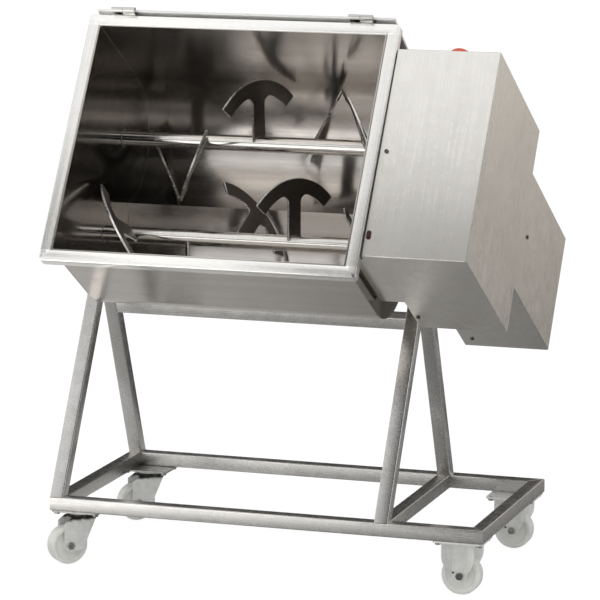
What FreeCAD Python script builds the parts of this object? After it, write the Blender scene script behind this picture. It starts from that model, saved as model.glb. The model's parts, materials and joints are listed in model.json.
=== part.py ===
import FreeCAD, Part
import math
import os

# Tilting double-shaft meat mixer on a castor trolley.
# Millimetres, +Z up, X along the machine, +Y towards its back.
# Origin on the floor under the middle of the base frame.
# The head is drawn upright, with its rim plane at z = 0, and then tipped about the trunnions.

# Base frame
TUBE = 30.0
TUBE_WALL = 2.0
BASE_LENGTH = 980.0
BASE_DEPTH = 505.0
BASE_UNDERSIDE = 119.5
FRONT_LEG_LEAN = 29.33
REAR_LEG_LEAN = 21.07
LEFT_LEG_GAP = 42.0
RIGHT_LEG_GAP = 17.0
CROSSBAR_HEIGHT = 519.0

# Trunnions
TILT = 57.4
PIVOT_Y_IN_HEAD = -91.0
PIVOT_DEPTH = 411.0
HUB_RADIUS = 36.0
HUB_PROUD = 3.0
HUB_CHAMFER = 1.5
PIN_RADIUS = 15.0
PIN_CLEARANCE = 0.05
COLLAR_RADIUS = 22.0
COLLAR_THICKNESS = 4.0
EAR_RISE = 70.0
EAR_THICKNESS = 7.0
SIDE_PLAY = 1.0

# Tub
TUB_LEFT = -418.0
TUB_RIGHT = 233.0
TUB_HALF_WIDTH = 265.0
TUB_SHEET = 2.0
END_WALL = 3.0
SHAFT_SPACING = 230.0
SHAFT_DEPTH = 255.0
RIM_BAR = 25.0
RIM_WALL = 2.0
RIM_CORNER = 8.0

# Mixing shafts and paddles
SHAFT_RADIUS = 17.5
JOURNAL_RADIUS = 15.0
JOURNAL_CLEARANCE = 0.05
END_PLAY = 0.5
FRONT_SHAFT_END = 456.0
REAR_SHAFT_END = 332.0
PADDLE_RADIUS = 141.0
PADDLE_BAND = 32.0
PADDLE_HALF_ANGLE = 50.0
PADDLE_STEM = 36.0
PADDLE_THICKNESS = 5.0
PADDLE_FILLET = 15.0
PADDLE_TIP_ROUND = 3.0
FIRST_STATION = -344.0
STATION_PITCH = 122.0
REAR_PADDLE_ANGLES = (258.0, 150.0, 36.0, 328.0, 75.0)
REAR_TWIST_ANGLES = (-32.0, -26.0, -26.0, 32.0, 32.0)
FRONT_TWIST_ANGLES = (32.0, -26.0, -32.0, -29.0, -26.0)

# Timing gears
GEAR_TEETH = 46
GEAR_ADDENDUM = 4.0
GEAR_DEDENDUM = 5.6
GEAR_BACKLASH = 0.5
GEAR_FACE_LEFT = 300.0
GEAR_WIDTH = 22.0
GEAR_HUB_RADIUS = 30.0
GEAR_HUB_PROUD = 5.0
GEAR_DISH = 6.0
GEAR_RIM = 12.0
PRESSURE_ANGLE = 20.0

# Bearings
BEARING_BOSS = 29.0
BEARING_FLANGE = 39.5
BEARING_FLANGE_THICKNESS = 8.0
BEARING_LENGTH = 22.0
WALL_HOLE = 20.0
SPIGOT_CLEARANCE = 0.1
BEARING_BOLT_CIRCLE = 33.0
BEARING_BOLT_HEAD = 4.5
BEARING_BOLT_HEIGHT = 5.0

# Drive housing
DRIVE_PLATE = 7.0
DRIVE_PLATE_INSET = 10.0
DRIVE_PLATE_GAP = 4.0
DRIVE_PLATE_CORNER = 92.0
COVER_SHEET = 1.5
COVER_LENGTH = 242.0
COVER_TOP_DEPTH = 10.0
COVER_BOTTOM_DEPTH = 390.0
COVER_HALF_WIDTH = 238.0
COVER_FOLD = 4.0
RIM_STEP_GAP = 2.0
RECESS_BESIDE_LEG = 12.0
RECESS_OVER_HUB = 13.0
RECESS_BEHIND_HUB = 10.0
RECESS_CORNER_FORWARD = 9.0
RECESS_FRONT_RISE = 161.0
MOTOR_BOX_HALF_WIDTH = 136.0
MOTOR_BOX_DEPTH = 740.0
PANEL_REVEAL = 1.2

# Reducer and motor
REDUCER_X = 396.0
WORM_OFFSET = 75.0
REDUCER_FLANGE_DEPTH = 335.0
MOTOR_RADIUS = 70.0
MOTOR_LENGTH = 290.0
MOTOR_FINS = 20
MOTOR_FLANGE_RADIUS = 66.0
MOTOR_FLANGE_THICKNESS = 10.0
MOTOR_CORE_INSET = 8.0
MOTOR_COWL_PROUD = 3.0
MOTOR_COWL_LENGTH = 60.0
MOTOR_FIN = 3.0
TERMINAL_BOX_DROP = 70.0
TERMINAL_BOX_WIDTH = 70.0
TERMINAL_BOX_HEIGHT = 80.0
TERMINAL_BOX_NEAR = 55.0
TERMINAL_BOX_FAR = 105.0
REDUCER_HALF = 48.0
REDUCER_CASE_RADIUS = 68.0
WORM_CASE_HALF = 40.0
WORM_CASE_RISE = 75.0
OUTPUT_RADIUS = 30.0
OUTPUT_LEFT_PROUD = 10.0
OUTPUT_RIGHT_PROUD = 8.0
ARM_DEPTH = 112.0
ARM_THICKNESS = 10.0
ARM_HALF_WIDTH = 50.0
ARM_FOOT_DEPTH = 60.0
NECK_RISE = 40.0

# Lid
LID_SHEET = 2.0
LID_GAP = 1.0
LID_EDGE = 6.0
LID_FOLD = 1.5
LID_INSET = 14.0
LID_BACK_GAP = 0.5
LID_REST_ANGLE = 84.5
HINGE_Y_PROUD = 9.0
HINGE_Z = 8.0
KNUCKLE_RADIUS = 5.5
HINGE_PIN_RADIUS = 3.0
HINGE_PIN_CLEARANCE = 0.05
LEAF_THICKNESS = 2.5
LEAF_REACH = 38.0
LEAF_LOW = -22.0
LEAF_HIGH = -3.0
RISER_SHORT = 2.0
STOP_HEIGHT = 8.0
KNUCKLE_GAP = 0.3
STOP_INSET = 4.0
PIN_SHORT = 5.0
STOP_GAP = 0.2
HINGE_CENTRES = (-366.0, 171.0)
KNUCKLE_LENGTH = 27.0

# Controls
PANEL_LEFT_X = 290.0
PANEL_RIGHT_X = 476.0
PANEL_HALF_HEIGHT = 26.0
EMERGENCY_X = 382.0
EMERGENCY_DEPTH = 55.0
START_X = 425.0
STOP_X = 453.0
BUTTON_RADIUS = 9.5
BUTTON_RISE = 5.0
BUTTON_CAP = 5.5
BUTTON_EDGE = 1.5
BUTTON_RING = 3.5
BUTTON_RING_HEIGHT = 4.0
EMERGENCY_RADIUS = 20.0
EMERGENCY_RING_RADIUS = 16.0
EMERGENCY_RING_HEIGHT = 1.5
EMERGENCY_TOP = 22.0
EMERGENCY_CAP = 13.0
EMERGENCY_DOME = 6.0
EMERGENCY_EDGE = 1.0
PANEL_THICKNESS = 2.0
BUTTON_CLEARANCE = 0.3
EMERGENCY_STEM = 8.0
BUTTON_STEM = 6.0
STEM_DEPTH = 10.0
STEM_TRAVEL = 8.0
CONTACT_BLOCK = 26.0
CONTACT_BLOCK_DEPTH = 38.0
LAMP_X = 268.0
LAMP_Y = -190.0
LAMP_BEZEL = 5.0
LAMP_LENS = 2.5
LAMP_LENS_REACH = 7.0
LAMP_STEP = 1.5
SCREW_HEAD_RADIUS = 4.5
SCREW_HEAD_HEIGHT = 2.5
SCREW_SOCKET = 2.2
TOP_SCREW_X = 274.0
COVER_SCREW_X = 302.0
COVER_SCREW_DEPTH = 329.0
MOTOR_SCREW_X = 318.0
MOTOR_SCREW_DEPTH = 697.0
PANEL_SCREW_DEPTH = 425.0
GLAND_X = 440.0
GLAND_Y = 70.0
GLAND_BORE = 5.0
GLAND_LENGTH = 24.0
GLAND_BODY_RADIUS = 12.0
GLAND_BODY_LENGTH = 8.0
GLAND_CAP_RADIUS = 10.5
GLAND_THREAD_RADIUS = 9.0
GLAND_THREAD_LENGTH = 6.0

# Castors
WHEEL_RADIUS = 42.5
WHEEL_WIDTH = 32.0
WHEEL_BORE = 6.0
AXLE_RADIUS = 5.9
HUB_FACE_PROUD = 1.5
CHEEK_GAP = 37.0
CHEEK = 3.0
PLATE_LENGTH = 110.0
PLATE_DEPTH = 85.0
PLATE_THICKNESS = 4.0
PLATE_INSET = 2.0
PLATE_CORNER = 8.0
FORK_HALF_STRIP = 18.0
FORK_FOOT = 12.0
WING_WIDTH = 26.0
WING_FLARE = 45.0
WING_SHOULDER_RISE = 52.0
WING_MIDDLE_RISE = 23.0
WING_FOOT_RISE = 6.0
SWIVEL_HEEL = 13.0
SWIVEL_HEEL_DROP = 12.0
SWIVEL_TOE = 3.0
SWIVEL_TOE_DROP = 4.0
SWIVEL_FOOT = 14.0
SWIVEL_INSTEP = 15.0
SWIVEL_INSTEP_DROP = 12.5
CROWN_BACK = 30.0
CROWN_FRONT = 27.0
KINGPIN_RADIUS = 8.0
KINGPIN_CLEARANCE = 0.3
KINGPIN_DROP = 6.0
WHEEL_HUB = 12.0
WHEEL_BAND = 9.0
WHEEL_DISH = 4.0
WHEEL_EDGE = 5.0
NUT_RADIUS = 8.5
NUT_HEIGHT = 6.0
BOLT_X = 45.0
BOLT_Y = 32.0
BOLT_RADIUS = 4.0
BOLT_HEAD_RADIUS = 6.5
BOLT_HEAD_HEIGHT = 5.0
TRAIL = 35.0
RACE_RADIUS = 30.0
RACE_HEIGHT = 11.0
RACE_GAP = 0.3
FRONT_HEADING = 44.0
REAR_HEADING = 38.0

# Derived places
RAIL_TOP = BASE_UNDERSIDE + TUBE
HALF_DEPTH = BASE_DEPTH / 2
LEFT_LEG_X = TUB_LEFT - LEFT_LEG_GAP - TUBE
RIGHT_LEG_X = TUB_RIGHT + RIGHT_LEG_GAP
BASE_LEFT = LEFT_LEG_X
BASE_RIGHT = BASE_LEFT + BASE_LENGTH
LEAN_F = math.radians(FRONT_LEG_LEAN)
LEAN_R = math.radians(REAR_LEG_LEAN)
FRONT_FOOT_Y = -HALF_DEPTH + TUBE / 2 / math.cos(LEAN_F)
REAR_FOOT_Y = HALF_DEPTH - TUBE / 2 / math.cos(LEAN_R)
LEG_RISE = (REAR_FOOT_Y - FRONT_FOOT_Y) / (math.tan(LEAN_F) + math.tan(LEAN_R))
PIVOT_Y = FRONT_FOOT_Y + LEG_RISE * math.tan(LEAN_F)
PIVOT_Z = RAIL_TOP + LEG_RISE
RIM_HALF = TUB_HALF_WIDTH + RIM_BAR
RIM_LEFT = TUB_LEFT - RIM_BAR
RIM_RIGHT = TUB_RIGHT + RIM_BAR
TROUGH_RADIUS = TUB_HALF_WIDTH - SHAFT_SPACING / 2
SHAFT_Y = SHAFT_SPACING / 2
PLATE_Z = BASE_UNDERSIDE - PLATE_THICKNESS
SWIVEL_X = BASE_LEFT + PLATE_INSET + PLATE_LENGTH / 2
FIXED_X = BASE_RIGHT - PLATE_INSET - PLATE_LENGTH / 2
CASTOR_Y = HALF_DEPTH - PLATE_INSET - PLATE_DEPTH / 2
EAR_TOP_DEPTH = PIVOT_DEPTH - EAR_RISE
COVER_LEFT = TUB_RIGHT + DRIVE_PLATE
COVER_RIGHT = COVER_LEFT + COVER_LENGTH
RIM_STEP_X = RIM_RIGHT + RIM_STEP_GAP
RIM_STEP_DEPTH = RIM_BAR + RIM_STEP_GAP
RECESS_X = RIGHT_LEG_X + TUBE + RECESS_BESIDE_LEG
RECESS_TOP_DEPTH = PIVOT_DEPTH - RECESS_FRONT_RISE
RECESS_CORNER_DEPTH = PIVOT_DEPTH - HUB_RADIUS - RECESS_OVER_HUB
RECESS_CORNER_Y = PIVOT_Y_IN_HEAD - RECESS_CORNER_FORWARD
RECESS_INNER_Y = PIVOT_Y_IN_HEAD + HUB_RADIUS + RECESS_BEHIND_HUB
HINGE_Y = RIM_HALF + HINGE_Y_PROUD
LID_TOP = LID_GAP + LID_EDGE
BUTTON_STEMS = (
    (EMERGENCY_X, EMERGENCY_STEM),
    (START_X, BUTTON_STEM),
    (STOP_X, BUTTON_STEM),
)

X_AXIS = FreeCAD.Vector(1, 0, 0)
Y_AXIS = FreeCAD.Vector(0, 1, 0)
Z_AXIS = FreeCAD.Vector(0, 0, 1)


def vec(x, y, z):
    return FreeCAD.Vector(x, y, z)


def block(x0, x1, y0, y1, z0, z1):
    corner = vec(min(x0, x1), min(y0, y1), min(z0, z1))
    return Part.makeBox(abs(x1 - x0), abs(y1 - y0), abs(z1 - z0), corner)


def rod_x(radius, x0, x1, y, z):
    return Part.makeCylinder(radius, abs(x1 - x0), vec(min(x0, x1), y, z), X_AXIS)


def rod_y(radius, x, y0, y1, z):
    return Part.makeCylinder(radius, abs(y1 - y0), vec(x, min(y0, y1), z), Y_AXIS)


def rod_z(radius, x, y, z0, z1):
    return Part.makeCylinder(radius, abs(z1 - z0), vec(x, y, min(z0, z1)), Z_AXIS)


def joined(shapes):
    whole = shapes[0]
    for shape in shapes[1:]:
        whole = whole.fuse(shape)
    return whole.removeSplitter()


def group(shapes):
    return Part.makeCompound(shapes)


def outline(points):
    """Closed face through 3-D points; an entry that is a pair of points is an arc's middle and end."""
    edges = []
    start = points[0]
    here = start
    for item in list(points[1:]) + [start]:
        if isinstance(item, tuple):
            middle, end = item
            edges.append(Part.Arc(here, middle, end).toShape())
            here = end
        elif here.distanceToPoint(item) > 1e-6:
            edges.append(Part.makeLine(here, item))
            here = item
    return Part.Face(Part.Wire(edges))


def prism_x(pairs, x0, x1):
    """Extrusion along X of an outline given as (y, z) pairs."""
    face = outline([lift_x(item, x0) for item in pairs])
    return face.extrude(vec(x1 - x0, 0, 0))


def lift_x(item, x):
    if len(item) == 2 and isinstance(item[0], tuple):
        return (vec(x, item[0][0], item[0][1]), vec(x, item[1][0], item[1][1]))
    return vec(x, item[0], item[1])


def rounded_section(y0, y1, z0, z1, radius):
    """Rounded rectangle as (y, z) pairs with arcs."""
    k = radius * (1 - math.sqrt(0.5))
    return [
        (y0 + radius, z0),
        (y1 - radius, z0),
        ((y1 - k, z0 + k), (y1, z0 + radius)),
        (y1, z1 - radius),
        ((y1 - k, z1 - k), (y1 - radius, z1)),
        (y0 + radius, z1),
        ((y0 + k, z1 - k), (y0, z1 - radius)),
        (y0, z0 + radius),
        ((y0 + k, z0 + k), (y0 + radius, z0)),
    ]


def fillet_near(solid, radius, test):
    edges = [edge for edge in solid.Edges if test(edge)]
    return solid.makeFillet(radius, edges)


def in_head(shape):
    """Tips a piece drawn in the upright head and carries it onto the trunnions."""
    moved = shape.copy()
    moved.translate(vec(0, -PIVOT_Y_IN_HEAD, PIVOT_DEPTH))
    moved.rotate(vec(0, 0, 0), X_AXIS, TILT)
    moved.translate(vec(0, PIVOT_Y, PIVOT_Z))
    return moved


# Base frame


def square_tube(length, axis_start, lean):
    """Hollow square tube rising from a point, leaning towards +Y by an angle."""
    half = TUBE / 2
    core = half - TUBE_WALL
    tube = block(-half, half, -half, half, 0, length)
    tube = tube.cut(block(-core, core, -core, core, -1, length + 1))
    tube.rotate(vec(0, 0, 0), X_AXIS, -lean)
    tube.translate(axis_start)
    return tube


def mitred_ring(x0, x1, depth, bar, wall, z0, corner):
    """Hollow bars round a rectangle, cut at the corners; returned as front, back, left, right."""
    a = (x1 - x0) / 2
    b = depth / 2
    middle = vec((x0 + x1) / 2, 0, 0)
    rings = []
    for inset in (0.0, wall):
        outer = block(-a + inset, a - inset, -b + inset, b - inset, z0 + inset, z0 + bar - inset)
        if corner > inset:
            outer = fillet_near(outer, corner - inset, stands_upright)
        shrink = bar - inset
        inner = block(-a + shrink, a - shrink, -b + shrink, b - shrink, z0, z0 + bar)
        rings.append(outer.cut(inner))
    hollow = rings[0].cut(rings[1])
    wedges = []
    for side in (-1, 1):
        wedges.append([(-a, side * b), (a, side * b), (a - b, 0), (b - a, 0)])
    for side in (-1, 1):
        wedges.append([(side * a, -b), (side * a, b), (side * (a - b), 0)])
    bars = []
    for corners in wedges:
        face = outline([vec(x, y, z0) for x, y in corners])
        piece = hollow.common(face.extrude(vec(0, 0, bar)))
        piece.translate(middle)
        bars.append(piece)
    return bars


def stands_upright(edge):
    first = edge.Vertexes[0].Point
    last = edge.Vertexes[-1].Point
    return abs(first.x - last.x) < 0.01 and abs(first.y - last.y) < 0.01


def base_rails():
    front, rear, left, right = mitred_ring(
        BASE_LEFT, BASE_RIGHT, BASE_DEPTH, TUBE, TUBE_WALL, BASE_UNDERSIDE, TUBE_WALL / 2
    )
    return {"rail_front": front, "rail_rear": rear, "rail_left": left, "rail_right": right}


def cross_rail():
    inner = HALF_DEPTH - TUBE
    outer = block(RIGHT_LEG_X, RIGHT_LEG_X + TUBE, -inner, inner, BASE_UNDERSIDE, RAIL_TOP)
    wall = TUBE_WALL
    core = block(
        RIGHT_LEG_X + wall,
        RIGHT_LEG_X + TUBE - wall,
        -inner,
        inner,
        BASE_UNDERSIDE + wall,
        RAIL_TOP - wall,
    )
    return outer.cut(core)


def leg(x_left, foot_y, lean):
    run = math.hypot(LEG_RISE, PIVOT_Y - foot_y)
    start = vec(
        x_left + TUBE / 2,
        foot_y - TUBE * math.sin(math.radians(lean)),
        RAIL_TOP - TUBE * math.cos(math.radians(lean)),
    )
    tube = square_tube(run + TUBE, start, lean)
    below = block(x_left, x_left + TUBE, -BASE_DEPTH, BASE_DEPTH, 0, RAIL_TOP)
    tube = tube.cut(below)
    return tube.cut(rod_x(HUB_RADIUS, x_left, x_left + TUBE, PIVOT_Y, PIVOT_Z))


def crossbar():
    """Square tube between the rear legs, turned to lie flush with them."""
    y = REAR_FOOT_Y - (CROSSBAR_HEIGHT - RAIL_TOP) * math.tan(LEAN_R)
    x0 = LEFT_LEG_X + TUBE
    half = TUBE / 2
    core = half - TUBE_WALL
    bar = block(x0, RIGHT_LEG_X, -half, half, -half, half)
    bar = bar.cut(block(x0, RIGHT_LEG_X, -core, core, -core, core))
    bar.rotate(vec(0, 0, 0), X_AXIS, REAR_LEG_LEAN)
    bar.translate(vec(0, y, CROSSBAR_HEIGHT))
    return bar


def pivot_hub(x_left):
    x0 = x_left - HUB_PROUD
    x1 = x_left + TUBE + HUB_PROUD
    hub = rod_x(HUB_RADIUS, x0, x1, PIVOT_Y, PIVOT_Z)
    hub = hub.makeChamfer(HUB_CHAMFER, hub.Edges[:1] + hub.Edges[2:3])
    bore = rod_x(PIN_RADIUS + PIN_CLEARANCE, x0 - 1, x1 + 1, PIVOT_Y, PIVOT_Z)
    return hub.cut(bore)


# Castors


def top_plate(x, y):
    z0 = PLATE_Z
    plate = block(
        x - PLATE_LENGTH / 2,
        x + PLATE_LENGTH / 2,
        y - PLATE_DEPTH / 2,
        y + PLATE_DEPTH / 2,
        z0,
        z0 + PLATE_THICKNESS,
    )
    plate = fillet_near(plate, PLATE_CORNER, stands_upright)
    for dx in (-BOLT_X, BOLT_X):
        for dy in (-BOLT_Y, BOLT_Y):
            plate = plate.cut(rod_z(BOLT_RADIUS, x + dx, y + dy, z0 - 1, z0 + PLATE_THICKNESS + 1))
    return plate


def cheek_pair(points, x, y):
    """Two fork cheeks in the XZ plane, either side of a wheel that turns about Y."""
    cheeks = []
    for y0 in (CHEEK_GAP / 2, -CHEEK_GAP / 2 - CHEEK):
        lifted = []
        for item in points:
            if isinstance(item[0], tuple):
                middle = vec(x + item[0][0], y + y0, item[0][1])
                end = vec(x + item[1][0], y + y0, item[1][1])
                lifted.append((middle, end))
            else:
                lifted.append(vec(x + item[0], y + y0, item[1]))
        cheeks.append(outline(lifted).extrude(vec(0, CHEEK, 0)))
    return cheeks


def flared_cheek(x, y_inner, side):
    """Pressed cheek seen from above: a flat strip whose two wings are bent away from the wheel."""
    flare = math.radians(WING_FLARE)
    bend = FORK_HALF_STRIP - CHEEK * math.tan(flare / 2)
    tip_x = FORK_HALF_STRIP + WING_WIDTH * math.cos(flare)
    tip_y = WING_WIDTH * math.sin(flare)
    section = [
        (FORK_HALF_STRIP, 0.0),
        (tip_x, tip_y),
        (tip_x - CHEEK * math.sin(flare), tip_y + CHEEK * math.cos(flare)),
        (bend, CHEEK),
    ]
    section += [(-px, py) for px, py in reversed(section)]
    low = WHEEL_RADIUS - FORK_FOOT
    loop = [vec(x + px, y_inner + side * py, low) for px, py in section]
    return outline(loop).extrude(vec(0, 0, PLATE_Z - low))


def fixed_fork(y_sign):
    """Plate and two flared cheeks, cut to the wings' curved side outline."""
    x = FIXED_X
    y = y_sign * CASTOR_Y
    top = PLATE_Z
    foot = WHEEL_RADIUS
    tip = FORK_HALF_STRIP + WING_WIDTH * math.cos(math.radians(WING_FLARE))
    middle = FORK_HALF_STRIP + (tip - FORK_HALF_STRIP) * 2 / 3
    shoulder = foot + WING_SHOULDER_RISE
    wing = foot + WING_MIDDLE_RISE
    ankle = foot + WING_FOOT_RISE
    y0 = y - PLATE_DEPTH / 2
    side = [
        vec(x - tip, y0, top),
        vec(x + tip, y0, top),
        vec(x + tip, y0, shoulder),
        (vec(x + middle, y0, wing), vec(x + FORK_HALF_STRIP, y0, ankle)),
        (vec(x, y0, foot - FORK_FOOT), vec(x - FORK_HALF_STRIP, y0, ankle)),
        (vec(x - middle, y0, wing), vec(x - tip, y0, shoulder)),
    ]
    envelope = outline(side).extrude(vec(0, PLATE_DEPTH, 0))
    pieces = []
    for way in (-1, 1):
        pieces.append(flared_cheek(x, y + way * CHEEK_GAP / 2, way).common(envelope))
    half = CHEEK_GAP / 2 + CHEEK
    web = block(x - FORK_HALF_STRIP, x + FORK_HALF_STRIP, y - half, y + half, top - CHEEK, top)
    fork = joined([top_plate(x, y), web] + pieces)
    bore = rod_y(AXLE_RADIUS, x, y - PLATE_DEPTH, y + PLATE_DEPTH, WHEEL_RADIUS)
    return fork.cut(bore)


def swivel_plate(y_sign):
    """Top plate with the fixed race and the kingpin below it."""
    x = SWIVEL_X
    y = y_sign * CASTOR_Y
    race = rod_z(RACE_RADIUS, x, y, PLATE_Z - RACE_HEIGHT / 2, PLATE_Z)
    pin = rod_z(KINGPIN_RADIUS, x, y, PLATE_Z - RACE_HEIGHT - KINGPIN_DROP, PLATE_Z)
    return joined([top_plate(x, y), race, pin])


def turned(shape, x, y, heading):
    moved = shape.copy()
    moved.rotate(vec(x, y, 0), Z_AXIS, heading)
    return moved


def swivel_fork(y_sign, heading):
    """Moving race, crown and two broad trailing cheeks."""
    x = SWIVEL_X
    y = y_sign * CASTOR_Y
    crown_top = PLATE_Z - RACE_HEIGHT
    race_top = PLATE_Z - RACE_HEIGHT / 2 - RACE_GAP
    axle = WHEEL_RADIUS
    quarter = SWIVEL_FOOT * math.sqrt(0.5)
    round_x = (SWIVEL_INSTEP - SWIVEL_TOE) * 0.4
    round_z = SWIVEL_TOE_DROP + (SWIVEL_INSTEP_DROP - SWIVEL_TOE_DROP) * 0.72
    cheek = [
        (-TRAIL - SWIVEL_HEEL, crown_top - SWIVEL_HEEL_DROP),
        (-CROWN_BACK, crown_top),
        (CROWN_FRONT, crown_top),
        (-SWIVEL_TOE, axle - SWIVEL_TOE_DROP),
        ((-SWIVEL_TOE - round_x, axle - round_z), (-SWIVEL_INSTEP, axle - SWIVEL_INSTEP_DROP)),
        (-TRAIL, axle - SWIVEL_FOOT),
        ((-TRAIL - quarter, axle - quarter), (-TRAIL - SWIVEL_FOOT, axle)),
    ]
    pieces = cheek_pair(cheek, x, y)
    half = CHEEK_GAP / 2 + CHEEK
    crown = block(
        x - CROWN_BACK, x + CROWN_FRONT, y - half, y + half, crown_top - CHEEK, crown_top
    )
    race = rod_z(RACE_RADIUS - CHEEK, x, y, crown_top, race_top)
    fork = joined([crown, race] + pieces)
    fork = fork.cut(rod_z(KINGPIN_RADIUS + KINGPIN_CLEARANCE, x, y, 0, PLATE_Z))
    fork = fork.cut(rod_y(AXLE_RADIUS, x - TRAIL, y - PLATE_DEPTH, y + PLATE_DEPTH, axle))
    return turned(fork, x, y, heading)


def wheel(x, y):
    """Nylon wheel: crowned tread, dished faces and a proud hub, turned about Y."""
    half = WHEEL_WIDTH / 2
    hub = half + HUB_FACE_PROUD
    r = WHEEL_RADIUS
    c = WHEEL_EDGE
    k = c * (1 - math.sqrt(0.5))
    band = r - WHEEL_BAND
    dish = half - WHEEL_DISH
    slope = WHEEL_DISH / 2
    section = [
        vec(WHEEL_BORE, -hub, 0),
        vec(WHEEL_HUB, -hub, 0),
        vec(WHEEL_HUB + 1, -dish, 0),
        vec(band - slope, -dish, 0),
        vec(band, -half, 0),
        vec(r - c, -half, 0),
        (vec(r - k, -half + k, 0), vec(r, -half + c, 0)),
        vec(r, half - c, 0),
        (vec(r - k, half - k, 0), vec(r - c, half, 0)),
        vec(band, half, 0),
        vec(band - slope, dish, 0),
        vec(WHEEL_HUB + 1, dish, 0),
        vec(WHEEL_HUB, hub, 0),
        vec(WHEEL_BORE, hub, 0),
    ]
    solid = outline(section).revolve(vec(0, 0, 0), Y_AXIS, 360)
    solid.translate(vec(x, y, WHEEL_RADIUS))
    return solid


def axle_bolt(x, y):
    """Bolt through both cheeks with a hexagon head and nut outside them."""
    outer = CHEEK_GAP / 2 + CHEEK
    reach = outer + NUT_HEIGHT / 2
    shank = rod_y(AXLE_RADIUS, x, y - reach, y + reach, WHEEL_RADIUS)
    ends = []
    for side in (-1, 1):
        corners = []
        for n in range(6):
            angle = math.radians(60 * n)
            across = x + NUT_RADIUS * math.cos(angle)
            rise = WHEEL_RADIUS + NUT_RADIUS * math.sin(angle)
            corners.append(vec(across, y + side * outer, rise))
        ends.append(outline(corners).extrude(vec(0, side * NUT_HEIGHT, 0)))
    return joined([shank] + ends)


def castor_bolts():
    """Plate bolts of all four castors and the two fixed castors' axle bolts."""
    bolts = []
    for middle in (SWIVEL_X, FIXED_X):
        for sy in (-1, 1):
            for dx in (-BOLT_X, BOLT_X):
                for dy in (-BOLT_Y, BOLT_Y):
                    x = middle + dx
                    y = sy * CASTOR_Y + dy
                    shank = rod_z(BOLT_RADIUS, x, y, PLATE_Z, BASE_UNDERSIDE)
                    head = rod_z(BOLT_HEAD_RADIUS, x, y, PLATE_Z - BOLT_HEAD_HEIGHT, PLATE_Z)
                    bolts.append(joined([shank, head]))
    for sy in (-1, 1):
        bolts.append(axle_bolt(FIXED_X, sy * CASTOR_Y))
    return group(bolts)


def castors():
    nodes = {}
    nodes["swivel_plates"] = group([swivel_plate(-1), swivel_plate(1)])
    nodes["castor_bolts"] = castor_bolts()
    nodes["fixed_forks"] = group([fixed_fork(-1), fixed_fork(1)])
    nodes["fixed_wheel_front"] = wheel(FIXED_X, -CASTOR_Y)
    nodes["fixed_wheel_rear"] = wheel(FIXED_X, CASTOR_Y)
    for name, sign, heading in (("front", -1, FRONT_HEADING), ("rear", 1, REAR_HEADING)):
        x = SWIVEL_X
        y = sign * CASTOR_Y
        nodes["swivel_fork_" + name] = swivel_fork(sign, heading)
        nodes["swivel_wheel_" + name] = turned(wheel(x - TRAIL, y), x, y, heading)
        nodes["swivel_axle_" + name] = turned(axle_bolt(x - TRAIL, y), x, y, heading)
    return nodes


# Tub


def double_trough(half_width, radius, z_top):
    """Closed (y, z) outline of the tub's inside or outside: straight walls on two round troughs."""
    z = -SHAFT_DEPTH
    ridge = z - math.sqrt(radius * radius - SHAFT_Y * SHAFT_Y)
    mid = (-math.pi + math.atan2(ridge - z, SHAFT_Y)) / 2
    left_mid = (-SHAFT_Y + radius * math.cos(mid), z + radius * math.sin(mid))
    right_mid = (-left_mid[0], left_mid[1])
    return [
        (-half_width, z_top),
        (-half_width, z),
        (left_mid, (0.0, ridge)),
        (right_mid, (half_width, z)),
        (half_width, z_top),
    ]


def tub_shell():
    x0 = TUB_LEFT + END_WALL
    x1 = TUB_RIGHT - END_WALL
    outer = prism_x(double_trough(TUB_HALF_WIDTH, TROUGH_RADIUS, 0.0), x0, x1)
    inner = double_trough(TUB_HALF_WIDTH - TUB_SHEET, TROUGH_RADIUS - TUB_SHEET, 1.0)
    return outer.cut(prism_x(inner, x0 - 1, x1 + 1))


def tub_end(x0):
    wall = prism_x(double_trough(TUB_HALF_WIDTH, TROUGH_RADIUS, 0.0), x0, x0 + END_WALL)
    for y in (-SHAFT_Y, SHAFT_Y):
        wall = wall.cut(rod_x(WALL_HOLE, x0 - 1, x0 + END_WALL + 1, y, -SHAFT_DEPTH))
    return wall


def rim_frame():
    """Square bars welded round the outside of the tub's mouth, corners ground round."""
    return joined(
        mitred_ring(RIM_LEFT, RIM_RIGHT, 2 * RIM_HALF, RIM_BAR, RIM_WALL, -RIM_BAR, RIM_CORNER)
    )


def trunnion(face_x, side):
    """Ear plate welded to the tub's end, with its pin and retaining collar, drawn in the head."""
    y = PIVOT_Y_IN_HEAD
    z = -PIVOT_DEPTH
    r = HUB_RADIUS
    outer_x = face_x + side * EAR_THICKNESS
    ear = prism_x(
        [(y - r, -EAR_TOP_DEPTH), (y - r, z), ((y, z - r), (y + r, z)), (y + r, -EAR_TOP_DEPTH)],
        face_x,
        outer_x,
    )
    leg_x = LEFT_LEG_X if side < 0 else RIGHT_LEG_X + TUBE
    hub_face = leg_x + side * (HUB_PROUD + SIDE_PLAY)
    pin = rod_x(PIN_RADIUS, face_x, hub_face + side * COLLAR_THICKNESS, y, z)
    collar = rod_x(COLLAR_RADIUS, hub_face, hub_face + side * COLLAR_THICKNESS, y, z)
    return joined([ear, pin, collar])


# Shafts, paddles and timing gears


def mixing_shaft(y, x_end):
    z = -SHAFT_DEPTH
    inner_left = TUB_LEFT + END_WALL + END_PLAY
    inner_right = TUB_RIGHT - END_WALL - END_PLAY
    body = rod_x(SHAFT_RADIUS, inner_left, inner_right, y, z)
    left = rod_x(JOURNAL_RADIUS, TUB_LEFT - BEARING_LENGTH, inner_left, y, z)
    right = rod_x(JOURNAL_RADIUS, inner_right, x_end, y, z)
    return joined([body, left, right])


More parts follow.
